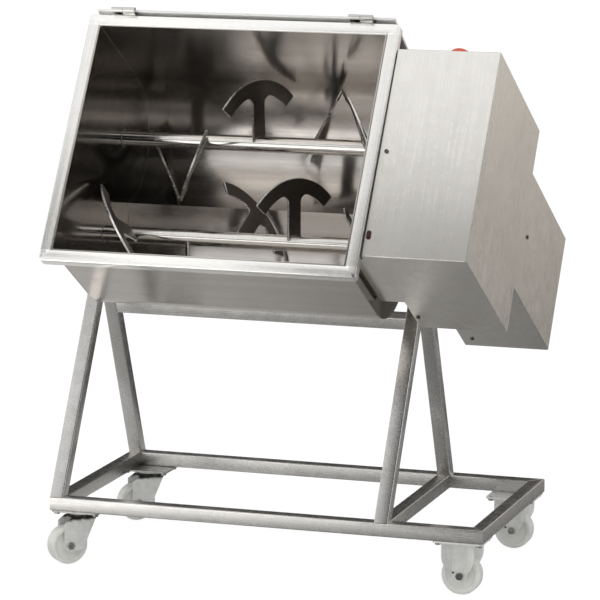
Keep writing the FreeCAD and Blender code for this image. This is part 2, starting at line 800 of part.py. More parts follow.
def paddle_blank():
    """Flat T in its own plane: stem along +X from the shaft's centre, crown an arc about it, thickness along Z."""
    t = PADDLE_THICKNESS
    half = math.radians(PADDLE_HALF_ANGLE)
    outer = PADDLE_RADIUS
    inner = PADDLE_RADIUS - PADDLE_BAND
    up = (math.cos(half), math.sin(half))
    crown = outline(
        [
            vec(inner * up[0], -inner * up[1], -t / 2),
            vec(outer * up[0], -outer * up[1], -t / 2),
            (vec(outer, 0, -t / 2), vec(outer * up[0], outer * up[1], -t / 2)),
            vec(inner * up[0], inner * up[1], -t / 2),
            (vec(inner, 0, -t / 2), vec(inner * up[0], -inner * up[1], -t / 2)),
        ]
    ).extrude(vec(0, 0, t))
    stem = block(0, inner + PADDLE_BAND / 2, -PADDLE_STEM / 2, PADDLE_STEM / 2, -t / 2, t / 2)
    plate = joined([crown, stem])

    def near_root(edge):
        point = edge.CenterOfMass
        straight = abs(edge.Vertexes[0].Point.z - edge.Vertexes[-1].Point.z) > t / 2
        at_stem = abs(abs(point.y) - PADDLE_STEM / 2) < 0.5
        return straight and at_stem and point.x > inner / 2

    def near_tip(edge):
        point = edge.CenterOfMass
        straight = abs(edge.Vertexes[0].Point.z - edge.Vertexes[-1].Point.z) > t / 2
        return straight and abs(point.y) > inner * up[1] - 1

    plate = fillet_near(plate, PADDLE_FILLET, near_root)
    return fillet_near(plate, PADDLE_TIP_ROUND, near_tip)


def paddle(blank, x, y, angle, twist):
    """Stands a blank on a shaft: angle from +Y towards the mouth, then twisted about its stem."""
    piece = blank.copy()
    piece.rotate(vec(0, 0, 0), vec(1, 1, 1), 120)
    piece.rotate(vec(0, 0, 0), Y_AXIS, twist)
    piece.rotate(vec(0, 0, 0), X_AXIS, angle)
    piece.translate(vec(x, y, -SHAFT_DEPTH))
    return piece.cut(rod_x(SHAFT_RADIUS, x - PADDLE_RADIUS, x + PADDLE_RADIUS, y, -SHAFT_DEPTH))


def paddles():
    nodes = {}
    blank = paddle_blank()
    for n, angle in enumerate(REAR_PADDLE_ANGLES):
        x = FIRST_STATION + n * STATION_PITCH
        rear = paddle(blank, x, SHAFT_Y, angle, REAR_TWIST_ANGLES[n])
        front = paddle(blank, x, -SHAFT_Y, -angle, FRONT_TWIST_ANGLES[n])
        nodes["rear_paddle_%d" % (n + 1)] = rear
        nodes["front_paddle_%d" % (n + 1)] = front
    return nodes


def timing_gear(y, turn):
    """Spur gear with straight-flanked teeth, a hub and a web, standing on a shaft's journal."""
    pitch_radius = SHAFT_SPACING / 2
    step = 2 * math.pi / GEAR_TEETH
    half_tooth = step / 4 - GEAR_BACKLASH / 2 / pitch_radius
    slope = math.tan(math.radians(PRESSURE_ANGLE)) / pitch_radius
    tip = pitch_radius + GEAR_ADDENDUM
    root = pitch_radius - GEAR_DEDENDUM
    half_tip = half_tooth - GEAR_ADDENDUM * slope
    half_root = half_tooth + GEAR_DEDENDUM * slope
    z = -SHAFT_DEPTH
    points = []
    for n in range(GEAR_TEETH):
        middle = n * step + turn
        for radius, offset in (
            (root, -half_root),
            (tip, -half_tip),
            (tip, half_tip),
            (root, half_root),
        ):
            angle = middle + offset
            points.append((y + radius * math.cos(angle), z + radius * math.sin(angle)))
    x0 = GEAR_FACE_LEFT
    x1 = x0 + GEAR_WIDTH
    gear = prism_x(points, x0, x1)
    for a, b in ((x0, x0 + GEAR_DISH), (x1 - GEAR_DISH, x1)):
        dish = rod_x(root - GEAR_RIM, a, b, y, z)
        gear = gear.cut(dish.cut(rod_x(GEAR_HUB_RADIUS + GEAR_DISH, a, b, y, z)))
    hub = rod_x(GEAR_HUB_RADIUS, x0 - GEAR_HUB_PROUD, x1 + GEAR_HUB_PROUD, y, z)
    gear = joined([gear, hub])
    return gear.cut(rod_x(JOURNAL_RADIUS, x0 - GEAR_WIDTH, x1 + GEAR_WIDTH, y, z))


def flange_bearing(x_face, side, y, spigot):
    """Round flanged bearing standing off a wall, with a sealing spigot that fills the wall's hole."""
    z = -SHAFT_DEPTH
    flange = rod_x(BEARING_FLANGE, x_face, x_face + side * BEARING_FLANGE_THICKNESS, y, z)
    boss = rod_x(BEARING_BOSS, x_face, x_face + side * BEARING_LENGTH, y, z)
    seal = rod_x(WALL_HOLE - SPIGOT_CLEARANCE, x_face - side * spigot, x_face, y, z)
    pieces = [flange, boss, seal]
    head = x_face + side * (BEARING_FLANGE_THICKNESS + BEARING_BOLT_HEIGHT)
    for n in range(4):
        angle = math.radians(45 + 90 * n)
        bolt_y = y + BEARING_BOLT_CIRCLE * math.cos(angle)
        bolt_z = z + BEARING_BOLT_CIRCLE * math.sin(angle)
        pieces.append(rod_x(BEARING_BOLT_HEAD, x_face, head, bolt_y, bolt_z))
    reach = BEARING_LENGTH + spigot
    bore = rod_x(JOURNAL_RADIUS + JOURNAL_CLEARANCE, x_face - reach, x_face + reach, y, z)
    return joined(pieces).cut(bore)


def shaft_bearings():
    pieces = []
    right = COVER_LEFT + COVER_SHEET
    for y in (-SHAFT_Y, SHAFT_Y):
        pieces.append(flange_bearing(TUB_LEFT, -1, y, END_WALL))
        pieces.append(flange_bearing(right, 1, y, right - TUB_RIGHT + END_WALL))
    return group(pieces)


# Drive housing


def recess_outline():
    """(y, z) outline of the hollow in the housing's left side that clears the right legs."""
    low = -COVER_BOTTOM_DEPTH - TUBE
    front = -COVER_HALF_WIDTH - TUBE
    return [
        (front, -RECESS_TOP_DEPTH),
        (-COVER_HALF_WIDTH, -RECESS_TOP_DEPTH),
        (RECESS_CORNER_Y, -RECESS_CORNER_DEPTH),
        (RECESS_INNER_Y, -RECESS_CORNER_DEPTH),
        (RECESS_INNER_Y, low),
        (front, low),
    ]


def shifted(pairs, dy, dz):
    return [(y + dy, z + dz) for y, z in pairs]


def upper_box(inset, x1):
    """Main box of the drive housing, stepped round the rim bar and hollowed for the legs."""
    half = COVER_HALF_WIDTH - inset
    section = rounded_section(
        -half, half, -COVER_BOTTOM_DEPTH + inset, -COVER_TOP_DEPTH - inset, COVER_FOLD - inset
    )
    box = prism_x(section, COVER_LEFT + inset, x1)
    step = block(
        COVER_LEFT - 1,
        RIM_STEP_X + inset,
        -COVER_HALF_WIDTH - 1,
        COVER_HALF_WIDTH + 1,
        -RIM_STEP_DEPTH - inset,
        0,
    )
    recess = prism_x(shifted(recess_outline(), inset, inset), COVER_LEFT - 1, RECESS_X + inset)
    return box.cut(step).cut(recess)


def housing_cover():
    x1 = COVER_RIGHT
    cover = upper_box(0.0, x1).cut(upper_box(COVER_SHEET, x1 + 1))
    mouth_half = MOTOR_BOX_HALF_WIDTH - COVER_SHEET
    mouth = block(
        RECESS_X + COVER_SHEET,
        x1 + 1,
        -mouth_half,
        mouth_half,
        -COVER_BOTTOM_DEPTH - 1,
        -COVER_BOTTOM_DEPTH + COVER_SHEET + 1,
    )
    cover = cover.cut(mouth)
    for y in (-SHAFT_Y, SHAFT_Y):
        cover = cover.cut(rod_x(WALL_HOLE, COVER_LEFT - 1, COVER_LEFT + 3, y, -SHAFT_DEPTH))
    for x, stem in BUTTON_STEMS:
        hole = stem + BUTTON_CLEARANCE
        y0 = COVER_HALF_WIDTH
        cover = cover.cut(rod_y(hole, x, y0 - 3, y0 + 1, -EMERGENCY_DEPTH))
    return cover


def motor_cover():
    half = MOTOR_BOX_HALF_WIDTH
    sheet = COVER_SHEET
    top = -COVER_BOTTOM_DEPTH
    low = -MOTOR_BOX_DEPTH
    outer = block(RECESS_X, COVER_RIGHT, -half, half, low, top)
    inner = block(
        RECESS_X + sheet, COVER_RIGHT + 1, -half + sheet, half - sheet, low + sheet, top + 1
    )
    cover = outer.cut(inner)
    return cover.cut(rod_z(GLAND_THREAD_RADIUS, GLAND_X, GLAND_Y, low, low + sheet))


def side_panel():
    """Flat stepped sheet that closes the right side of both boxes."""
    edge = PANEL_REVEAL
    a = COVER_HALF_WIDTH - edge
    b = MOTOR_BOX_HALF_WIDTH - edge
    top = -COVER_TOP_DEPTH - edge
    step = -COVER_BOTTOM_DEPTH + edge
    low = -MOTOR_BOX_DEPTH + edge
    corners = [(-a, top), (a, top), (a, step), (b, step), (b, low), (-b, low), (-b, step), (-a, step)]
    return prism_x(corners, COVER_RIGHT, COVER_RIGHT + COVER_SHEET)


def drive_plate():
    """Plate between the tub's end wall and the drive housing, drilled for the shafts."""
    half = COVER_HALF_WIDTH - DRIVE_PLATE_INSET
    top = -RIM_STEP_DEPTH - DRIVE_PLATE_GAP
    low = -EAR_TOP_DEPTH + DRIVE_PLATE_GAP
    corner = DRIVE_PLATE_CORNER
    corners = [(-half, top), (half, top), (half, low), (corner - half, low), (-half, low + corner)]
    plate = prism_x(corners, TUB_RIGHT, TUB_RIGHT + DRIVE_PLATE)
    for y in (-SHAFT_Y, SHAFT_Y):
        hole = rod_x(WALL_HOLE, TUB_RIGHT, TUB_RIGHT + DRIVE_PLATE, y, -SHAFT_DEPTH)
        plate = plate.cut(hole)
    return plate


def gear_reducer():
    """Worm reducer on the front shaft, hung by its bracket from the housing's left wall."""
    y = -SHAFT_Y
    z = -SHAFT_DEPTH
    worm_y = y + WORM_OFFSET
    low = -REDUCER_FLANGE_DEPTH
    x0 = REDUCER_X - REDUCER_HALF
    x1 = REDUCER_X + REDUCER_HALF
    c = WORM_CASE_HALF
    wheel_case = rod_x(REDUCER_CASE_RADIUS, x0, x1, y, z)
    worm_case = block(x0, x1, worm_y - c, worm_y + c, low, z + WORM_CASE_RISE)
    flange = rod_z(MOTOR_FLANGE_RADIUS, REDUCER_X, worm_y, low, low + MOTOR_FLANGE_THICKNESS)
    output = rod_x(OUTPUT_RADIUS, x0 - OUTPUT_LEFT_PROUD, x1 + OUTPUT_RIGHT_PROUD, y, z)
    wall = COVER_LEFT + COVER_SHEET
    arm_low = -ARM_DEPTH - ARM_THICKNESS
    w = ARM_HALF_WIDTH
    arm = block(wall, x1, y - w, y + w, arm_low, -ARM_DEPTH)
    foot = block(wall, wall + ARM_THICKNESS, y - w, y + w, arm_low, -ARM_FOOT_DEPTH)
    neck = block(x0, x1, y - c, y + c, z + NECK_RISE, -ARM_DEPTH)
    case = joined([wheel_case, worm_case, flange, output, arm, foot, neck])
    bore = rod_x(JOURNAL_RADIUS + JOURNAL_CLEARANCE, x0 - REDUCER_HALF, x1 + REDUCER_HALF, y, z)
    return case.cut(bore)


def drive_motor():
    """Flanged motor hung below the reducer: finned body, fan cowl and terminal box."""
    x = REDUCER_X
    y = -SHAFT_Y + WORM_OFFSET
    top = -REDUCER_FLANGE_DEPTH
    neck = top - MOTOR_FLANGE_THICKNESS
    low = top - MOTOR_LENGTH
    cowl_top = low + MOTOR_COWL_LENGTH
    flange = rod_z(MOTOR_FLANGE_RADIUS, x, y, neck, top)
    body = rod_z(MOTOR_RADIUS - MOTOR_CORE_INSET, x, y, cowl_top, neck)
    cowl = rod_z(MOTOR_RADIUS + MOTOR_COWL_PROUD, x, y, low, cowl_top)
    pieces = [flange, body, cowl]
    for n in range(MOTOR_FINS):
        fin = block(0, MOTOR_RADIUS, -MOTOR_FIN / 2, MOTOR_FIN / 2, cowl_top, neck)
        fin.rotate(vec(0, 0, 0), Z_AXIS, 360.0 * n / MOTOR_FINS)
        fin.translate(vec(x, y, 0))
        pieces.append(fin)
    half = TERMINAL_BOX_WIDTH / 2
    y0 = y + TERMINAL_BOX_NEAR
    y1 = y + TERMINAL_BOX_FAR
    box_top = top - TERMINAL_BOX_DROP
    pieces.append(block(x - half, x + half, y0, y1, box_top - TERMINAL_BOX_HEIGHT, box_top))
    return joined(pieces)


# Controls and small trim on the housing


def control_panel():
    """Thin plate on the housing's back face with a guide ring for each button."""
    y0 = COVER_HALF_WIDTH
    z = -EMERGENCY_DEPTH
    face = y0 + PANEL_THICKNESS
    h = PANEL_HALF_HEIGHT
    panel = block(PANEL_LEFT_X, PANEL_RIGHT_X, y0, face, z - h, z + h)
    for x in (START_X, STOP_X):
        ring = rod_y(BUTTON_RADIUS + BUTTON_RING, x, y0, face + BUTTON_RING_HEIGHT, z)
        panel = joined([panel, ring])
    guide = rod_y(EMERGENCY_RING_RADIUS, EMERGENCY_X, y0, face + EMERGENCY_RING_HEIGHT, z)
    panel = joined([panel, guide])
    for x, r in ((EMERGENCY_X, EMERGENCY_STEM), (START_X, BUTTON_RADIUS), (STOP_X, BUTTON_RADIUS)):
        panel = panel.cut(rod_y(r + BUTTON_CLEARANCE, x, y0, y0 + EMERGENCY_TOP, z))
    return panel


def contact_blocks():
    """Switch blocks behind the sheet; each one's bore takes its button's stem."""
    pieces = []
    half = CONTACT_BLOCK / 2
    y1 = COVER_HALF_WIDTH - COVER_SHEET
    z = -EMERGENCY_DEPTH
    for x, stem in BUTTON_STEMS:
        body = block(x - half, x + half, y1 - CONTACT_BLOCK_DEPTH, y1, z - half, z + half)
        bore = rod_y(stem + BUTTON_CLEARANCE, x, y1 - STEM_DEPTH - STEM_TRAVEL, y1, z)
        pieces.append(body.cut(bore))
    return group(pieces)


def emergency_button():
    """Red mushroom head on a plain stem, one turned piece."""
    y0 = COVER_HALF_WIDTH - STEM_DEPTH
    top = COVER_HALF_WIDTH + EMERGENCY_TOP
    base = top - EMERGENCY_CAP
    shoulder = top - EMERGENCY_DOME
    r = EMERGENCY_RADIUS
    section = [
        vec(0, y0, 0),
        vec(EMERGENCY_STEM, y0, 0),
        vec(EMERGENCY_STEM, base, 0),
        vec(r - EMERGENCY_EDGE, base, 0),
        vec(r, base + EMERGENCY_EDGE, 0),
        vec(r, shoulder, 0),
        (vec(r * 0.72, top - EMERGENCY_DOME * 0.25, 0), vec(BUTTON_EDGE, top, 0)),
        vec(0, top, 0),
    ]
    head = outline(section).revolve(vec(0, 0, 0), Y_AXIS, 360)
    head.translate(vec(EMERGENCY_X, 0, -EMERGENCY_DEPTH))
    return head


def push_button(x):
    """Flat cap with a rounded rim on a stem."""
    z = -EMERGENCY_DEPTH
    y0 = COVER_HALF_WIDTH + BUTTON_RISE
    y1 = y0 + BUTTON_CAP
    cap = rod_y(BUTTON_RADIUS, x, y0, y1, z)

    def outer_rim(edge):
        return edge.CenterOfMass.y > y1 - BUTTON_EDGE and edge.Length > BUTTON_CAP * 2

    cap = fillet_near(cap, BUTTON_EDGE, outer_rim)
    stem = rod_y(BUTTON_STEM, x, COVER_HALF_WIDTH - STEM_DEPTH, y0, z)
    return joined([cap, stem])


def indicator_lamp():
    """Small upright lens in an oval bezel on the housing's top face."""
    z = -COVER_TOP_DEPTH
    r = LAMP_BEZEL
    rim = z + LAMP_STEP
    pieces = [block(LAMP_X - r, LAMP_X + r, LAMP_Y - r, LAMP_Y + r, z, rim)]
    for y in (LAMP_Y - r, LAMP_Y + r):
        pieces.append(rod_z(r, LAMP_X, y, z, rim))
    reach = LAMP_LENS_REACH
    w = LAMP_LENS
    lens = block(LAMP_X - w, LAMP_X + w, LAMP_Y - reach, LAMP_Y + reach, rim, rim + LAMP_STEP)
    return joined(pieces + [lens])


def cover_screws():
    """Button-headed screws where the sheets are fixed, each with a hexagon socket."""
    h = SCREW_HEAD_HEIGHT
    half = COVER_HALF_WIDTH
    box = MOTOR_BOX_HALF_WIDTH
    right = COVER_RIGHT + COVER_SHEET
    places = [
        (vec(TOP_SCREW_X, 0, -COVER_TOP_DEPTH), Z_AXIS),
        (vec(COVER_SCREW_X, -half, -COVER_SCREW_DEPTH), -Y_AXIS),
        (vec(COVER_SCREW_X, half, -COVER_SCREW_DEPTH), Y_AXIS),
        (vec(MOTOR_SCREW_X, -box, -MOTOR_SCREW_DEPTH), -Y_AXIS),
        (vec(MOTOR_SCREW_X, box, -MOTOR_SCREW_DEPTH), Y_AXIS),
        (vec(right, 0, -PANEL_SCREW_DEPTH), X_AXIS),
    ]
    screws = []
    for point, out in places:
        head = Part.makeCylinder(SCREW_HEAD_RADIUS, h, point, out)
        socket = Part.makeCylinder(SCREW_SOCKET, h, point + out * (h * 0.45), out)
        screws.append(head.cut(socket))
    return group(screws)


def cable_gland():
    """Gland in the motor box's floor; its bore is the way in for a supply cable."""
    low = -MOTOR_BOX_DEPTH
    collar = low - GLAND_BODY_LENGTH
    end = low - GLAND_LENGTH
    high = low + GLAND_THREAD_LENGTH
    body = rod_z(GLAND_BODY_RADIUS, GLAND_X, GLAND_Y, collar, low)
    cap = rod_z(GLAND_CAP_RADIUS, GLAND_X, GLAND_Y, end, collar)
    thread = rod_z(GLAND_THREAD_RADIUS, GLAND_X, GLAND_Y, low, high)
    return joined([body, cap, thread]).cut(rod_z(GLAND_BORE, GLAND_X, GLAND_Y, end, high))


# Lid


def open_lid(shape):
    """Swings a piece drawn on the closed lid to its place hanging behind the tub."""
    moved = shape.copy()
    moved.rotate(vec(0, HINGE_Y, HINGE_Z), X_AXIS, LID_REST_ANGLE)
    return moved


def lid_panel():
    """Shallow folded tray that lies on the rim bar, drawn closed and swung open."""
    x0 = RIM_LEFT + LID_INSET
    x1 = RIM_RIGHT - LID_INSET
    y0 = -RIM_HALF + LID_INSET
    y1 = RIM_HALF - LID_BACK_GAP
    outer = block(x0, x1, y0, y1, LID_GAP, LID_TOP)
    s = LID_FOLD
    inner = block(x0 + s, x1 - s, y0 + s, y1 - s, LID_GAP, LID_TOP - LID_SHEET)
    return open_lid(outer.cut(inner))


def lid_hinges():
    """Lid halves of the two lift-off hinges: knuckle and leaf."""
    pieces = []
    for centre in HINGE_CENTRES:
        x0 = centre - KNUCKLE_LENGTH
        x1 = centre - KNUCKLE_GAP
        knuckle = rod_x(KNUCKLE_RADIUS, x0, x1, HINGE_Y, HINGE_Z)
        leaf = block(x0, x1, HINGE_Y - LEAF_REACH, HINGE_Y, LID_TOP, LID_TOP + LEAF_THICKNESS)
        pin_hole = HINGE_PIN_RADIUS + HINGE_PIN_CLEARANCE
        bore = rod_x(pin_hole, x0 + STOP_INSET, centre, HINGE_Y, HINGE_Z)
        pieces.append(open_lid(joined([knuckle, leaf]).cut(bore)))
    return group(pieces)


def hinge_bases():
    """Rim halves of the hinges: leaf on the back bar, knuckle, pin and a stop for the open lid."""
    turn = math.radians(LID_REST_ANGLE)
    out = LID_TOP + LEAF_THICKNESS - HINGE_Z
    along = (HINGE_Z + out * math.cos(turn) - LEAF_LOW) / math.sin(turn)
    open_leaf = HINGE_Y - along * math.cos(turn) - out * math.sin(turn)
    back = RIM_HALF + LEAF_THICKNESS
    pieces = []
    for centre in HINGE_CENTRES:
        x0 = centre - KNUCKLE_LENGTH
        x1 = centre + KNUCKLE_LENGTH
        knuckle = rod_x(KNUCKLE_RADIUS, centre, x1, HINGE_Y, HINGE_Z)
        pin = rod_x(HINGE_PIN_RADIUS, x0 + PIN_SHORT, centre, HINGE_Y, HINGE_Z)
        leaf = block(x0, x1, RIM_HALF, back, LEAF_LOW, LEAF_HIGH)
        riser = block(centre, x1, RIM_HALF, HINGE_Y - RISER_SHORT, LEAF_HIGH, HINGE_Z)
        stop_top = LEAF_LOW + STOP_HEIGHT
        stop = block(
            x0 + STOP_INSET, centre - STOP_INSET, RIM_HALF, open_leaf - STOP_GAP, LEAF_LOW, stop_top
        )
        pieces.append(joined([knuckle, pin, leaf, riser, stop]))
    return group(pieces)


def head_nodes():
    nodes = {
        "tub_shell": tub_shell(),
        "tub_end_left": tub_end(TUB_LEFT),
        "tub_end_right": tub_end(TUB_RIGHT - END_WALL),
        "rim_frame": rim_frame(),
        "trunnion_left": trunnion(TUB_LEFT, -1),
        "trunnion_right": trunnion(TUB_RIGHT, 1),
        "drive_plate": drive_plate(),
        "housing_cover": housing_cover(),
        "motor_cover": motor_cover(),
        "side_panel": side_panel(),
        "gear_reducer": gear_reducer(),
        "drive_motor": drive_motor(),
        "shaft_bearings": shaft_bearings(),
        "control_panel": control_panel(),
        "contact_blocks": contact_blocks(),
        "emergency_button": emergency_button(),
        "start_button": push_button(START_X),
        "stop_button": push_button(STOP_X),
        "indicator_lamp": indicator_lamp(),
        "cover_screws": cover_screws(),
        "cable_gland": cable_gland(),
        "hinge_bases": hinge_bases(),
        "lid_panel": lid_panel(),
        "lid_hinges": lid_hinges(),
        "front_shaft": mixing_shaft(-SHAFT_Y, FRONT_SHAFT_END),
        "rear_shaft": mixing_shaft(SHAFT_Y, REAR_SHAFT_END),
        "front_gear": timing_gear(-SHAFT_Y, 0.0),
        "rear_gear": timing_gear(SHAFT_Y, math.pi / GEAR_TEETH),
    }
    nodes.update(paddles())
    return nodes


def stand_nodes():
    nodes = base_rails()
    nodes["rail_cross"] = cross_rail()
    nodes["leg_front_left"] = leg(LEFT_LEG_X, FRONT_FOOT_Y, FRONT_LEG_LEAN)
    nodes["leg_rear_left"] = leg(LEFT_LEG_X, REAR_FOOT_Y, -REAR_LEG_LEAN)
    nodes["leg_front_right"] = leg(RIGHT_LEG_X, FRONT_FOOT_Y, FRONT_LEG_LEAN)
    nodes["leg_rear_right"] = leg(RIGHT_LEG_X, REAR_FOOT_Y, -REAR_LEG_LEAN)
    nodes["crossbar"] = crossbar()
    nodes["pivot_hubs"] = group([pivot_hub(LEFT_LEG_X), pivot_hub(RIGHT_LEG_X)])
    nodes.update(castors())
    return nodes


def main():
    os.makedirs("parts", exist_ok=True)
    for name, shape in stand_nodes().items():
        shape.exportStep("parts/%s.step" % name)
    for name, shape in head_nodes().items():
        in_head(shape).exportStep("parts/%s.step" % name)


main()
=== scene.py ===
"""Looks of a tilting meat mixer with two paddle shafts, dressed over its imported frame.

Everything is in metres in the row frame. Shapes of the head are worked out upright, in
millimetres, with the rim plane at z = 0, and Head.tip carries them to where the head stands.
"""

from __future__ import annotations

import json
import logging
import math
from dataclasses import dataclass, field
from enum import Enum
from typing import Sequence

import bmesh
import bpy
import numpy as np
from mathutils import Matrix, Vector

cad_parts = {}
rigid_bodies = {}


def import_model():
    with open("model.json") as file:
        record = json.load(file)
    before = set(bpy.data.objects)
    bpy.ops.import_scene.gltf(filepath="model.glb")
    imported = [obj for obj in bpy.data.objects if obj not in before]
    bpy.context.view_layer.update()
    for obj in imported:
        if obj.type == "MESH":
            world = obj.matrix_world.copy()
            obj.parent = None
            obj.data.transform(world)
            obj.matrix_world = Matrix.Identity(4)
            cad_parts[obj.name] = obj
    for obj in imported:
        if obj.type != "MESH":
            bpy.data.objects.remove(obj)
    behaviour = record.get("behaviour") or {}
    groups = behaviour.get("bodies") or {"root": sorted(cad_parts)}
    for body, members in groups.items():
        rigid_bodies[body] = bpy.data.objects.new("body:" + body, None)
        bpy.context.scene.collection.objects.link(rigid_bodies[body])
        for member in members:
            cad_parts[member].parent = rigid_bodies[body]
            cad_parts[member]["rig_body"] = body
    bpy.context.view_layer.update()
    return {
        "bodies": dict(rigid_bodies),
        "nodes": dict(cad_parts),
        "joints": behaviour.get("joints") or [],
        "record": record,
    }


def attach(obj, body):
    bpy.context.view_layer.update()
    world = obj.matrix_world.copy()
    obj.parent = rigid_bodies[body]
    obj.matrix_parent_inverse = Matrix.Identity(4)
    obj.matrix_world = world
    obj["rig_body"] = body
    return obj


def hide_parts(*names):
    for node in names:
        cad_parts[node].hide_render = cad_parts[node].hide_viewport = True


log = logging.getLogger("meat_mixer")
MM = 0.001
SHARP = 35.0
TILT = 57.4
Array = np.ndarray
Vec = Sequence[float]
Pair = tuple[float, float]
Triple = tuple[float, float, float]
Socket = bpy.types.NodeSocket
Material = bpy.types.Material


class Axis(Enum):
    """The axis that a grain runs along, or that a card's brightness changes along."""

    X = 0
    Y = 1
    Z = 2


class Side(Enum):
    """Front is towards the side that the tub tips out of."""

    FRONT = -1
    REAR = 1


# Finishes

HEAD_TURN, LEVEL = (-TILT, 0.0, 0.0), (0.0, 0.0, 0.0)
# Broad streaks are so many times as wide and as long as the fine grain; marks are finer than clouds.
STREAK_WIDTH, STREAK_LENGTH, MARK_DENSITY = 14.0, 4.0, 9.0
# Colour of the painted shade in the swivel race, under the plate.
RACE_SHADE = (0.02, 0.019, 0.018)
FRAME_GREYS = (0.72, 0.71, 0.695), (0.58, 0.57, 0.555)
ZINC_GREYS = (0.95, 0.955, 0.93), (0.78, 0.785, 0.765)
# The tub's grain: density, stretch, clouds, relief and ripple.
POLISH = (900.0, 4.0, 3.0, 0.10, 0.2)


class Nodes:
    """Small helper that adds and joins shader nodes of one material."""

    def __init__(self, name: str) -> None:
        """Starts an empty node material of this name."""
        self.material = bpy.data.materials.new(name)
        self.material.use_nodes = True
        self.tree = self.material.node_tree
        self.shader = self.tree.nodes["Principled BSDF"]

    def add(self, kind: str, **settings: object) -> bpy.types.Node:
        """Adds a node.

        Args:
            kind: the node's type name.
            settings: attributes, or inputs by name with underscores for spaces.

        Returns:
            The new node.
        """
        node = self.tree.nodes.new(kind)
        for key, value in settings.items():
            socket = node.inputs.get(key.replace("_", " "))
            if hasattr(node, key) and not isinstance(socket, Socket):
                setattr(node, key, value)
            else:
                socket.default_value = value
        return node

    def join(self, source: Socket, target: Socket) -> None:
        """Links an output to an input."""
        self.tree.links.new(source, target)

    def give(self, name: str, value: object) -> None:
        """Sets an input of the shader, or links an output to it."""
        target = self.shader.inputs[name]
        if isinstance(value, Socket):
            self.join(value, target)
        else:
            target.default_value = value

    def show(self, output: Socket) -> None:
        """Links an output to the material's surface."""
        self.join(output, self.tree.nodes["Material Output"].inputs["Surface"])

    def place(self, turn: Vec, scale: Vec) -> Socket:
        """Object coordinates, turned and then stretched.

        Args:
            turn: angles in degrees about X, Y and Z that undo the piece's tilt.
            scale: pattern repeats per metre along each turned axis.

        Returns:
            The coordinate output.
        """
        coords = self.add("ShaderNodeTexCoord")
        turned = self.add("ShaderNodeMapping", vector_type="POINT")
        turned.inputs["Rotation"].default_value = [math.radians(a) for a in turn]
        stretched = self.add("ShaderNodeMapping", vector_type="POINT")
        stretched.inputs["Scale"].default_value = scale
        self.join(coords.outputs["Object"], turned.inputs["Vector"])
        self.join(turned.outputs["Vector"], stretched.inputs["Vector"])
        return stretched.outputs["Vector"]

    def noise(self, turn: Vec, scale: Vec, detail: float, rough: float = 0.55) -> Socket:
        """Fractal noise on placed coordinates, from 0 to 1."""
        node = self.add("ShaderNodeTexNoise", Scale=1.0, Detail=detail, Roughness=rough)
        self.join(self.place(turn, scale), node.inputs["Vector"])
        return node.outputs["Fac"]

    def spread(
        self, source: Socket, low: float, high: float, start: float = 0.3, end: float = 0.7
    ) -> Socket:
        """Maps a noise's middle range to low..high, clamped."""
        node = self.add("ShaderNodeMapRange", clamp=True)
        node.inputs["From Min"].default_value = start
        node.inputs["From Max"].default_value = end
        node.inputs["To Min"].default_value = low
        node.inputs["To Max"].default_value = high
        self.join(source, node.inputs["Value"])
        return node.outputs["Result"]

    def sum(self, a: Socket, b: Socket) -> Socket:
        """Adds two values."""
        node = self.add("ShaderNodeMath", operation="ADD")
        self.join(a, node.inputs[0])
        self.join(b, node.inputs[1])
        return node.outputs[0]

    def blend(self, factor: Socket, first: Vec, second: Vec) -> Socket:
        """Mixes two colours by a varying factor."""
        node = self.add("ShaderNodeMix", data_type="RGBA")
        node.inputs[6].default_value = (*first, 1.0)
        node.inputs[7].default_value = (*second, 1.0)
        self.join(factor, node.inputs[0])
        return node.outputs[2]

    def brush(self, along: Vec, amount: float) -> None:
        """Stretches reflections across a ground grain.

        The tangent is the surface normal crossed with the grain's direction.

        Args:
            along: the grain's direction in the piece's own axes.
            amount: 0 for none, towards 1 for the longest stretch.
        """
        coords = self.add("ShaderNodeTexCoord")
        cross = self.add("ShaderNodeVectorMath", operation="CROSS_PRODUCT")
        cross.inputs[1].default_value = along
        out = self.add("ShaderNodeVectorTransform", vector_type="VECTOR", convert_from="OBJECT")
        out.convert_to = "WORLD"
        self.join(coords.outputs["Normal"], cross.inputs[0])
        self.join(cross.outputs[0], out.inputs[0])
        self.give("Tangent", out.outputs[0])
        self.give("Anisotropic", amount)

    def bump(self, height: Socket, strength: float, distance: float) -> None:
        """Turns a height pattern into the shader's normal."""
        node = self.add("ShaderNodeBump", Strength=strength, Distance=distance)
        self.join(height, node.inputs["Height"])
        self.give("Normal", node.outputs["Normal"])


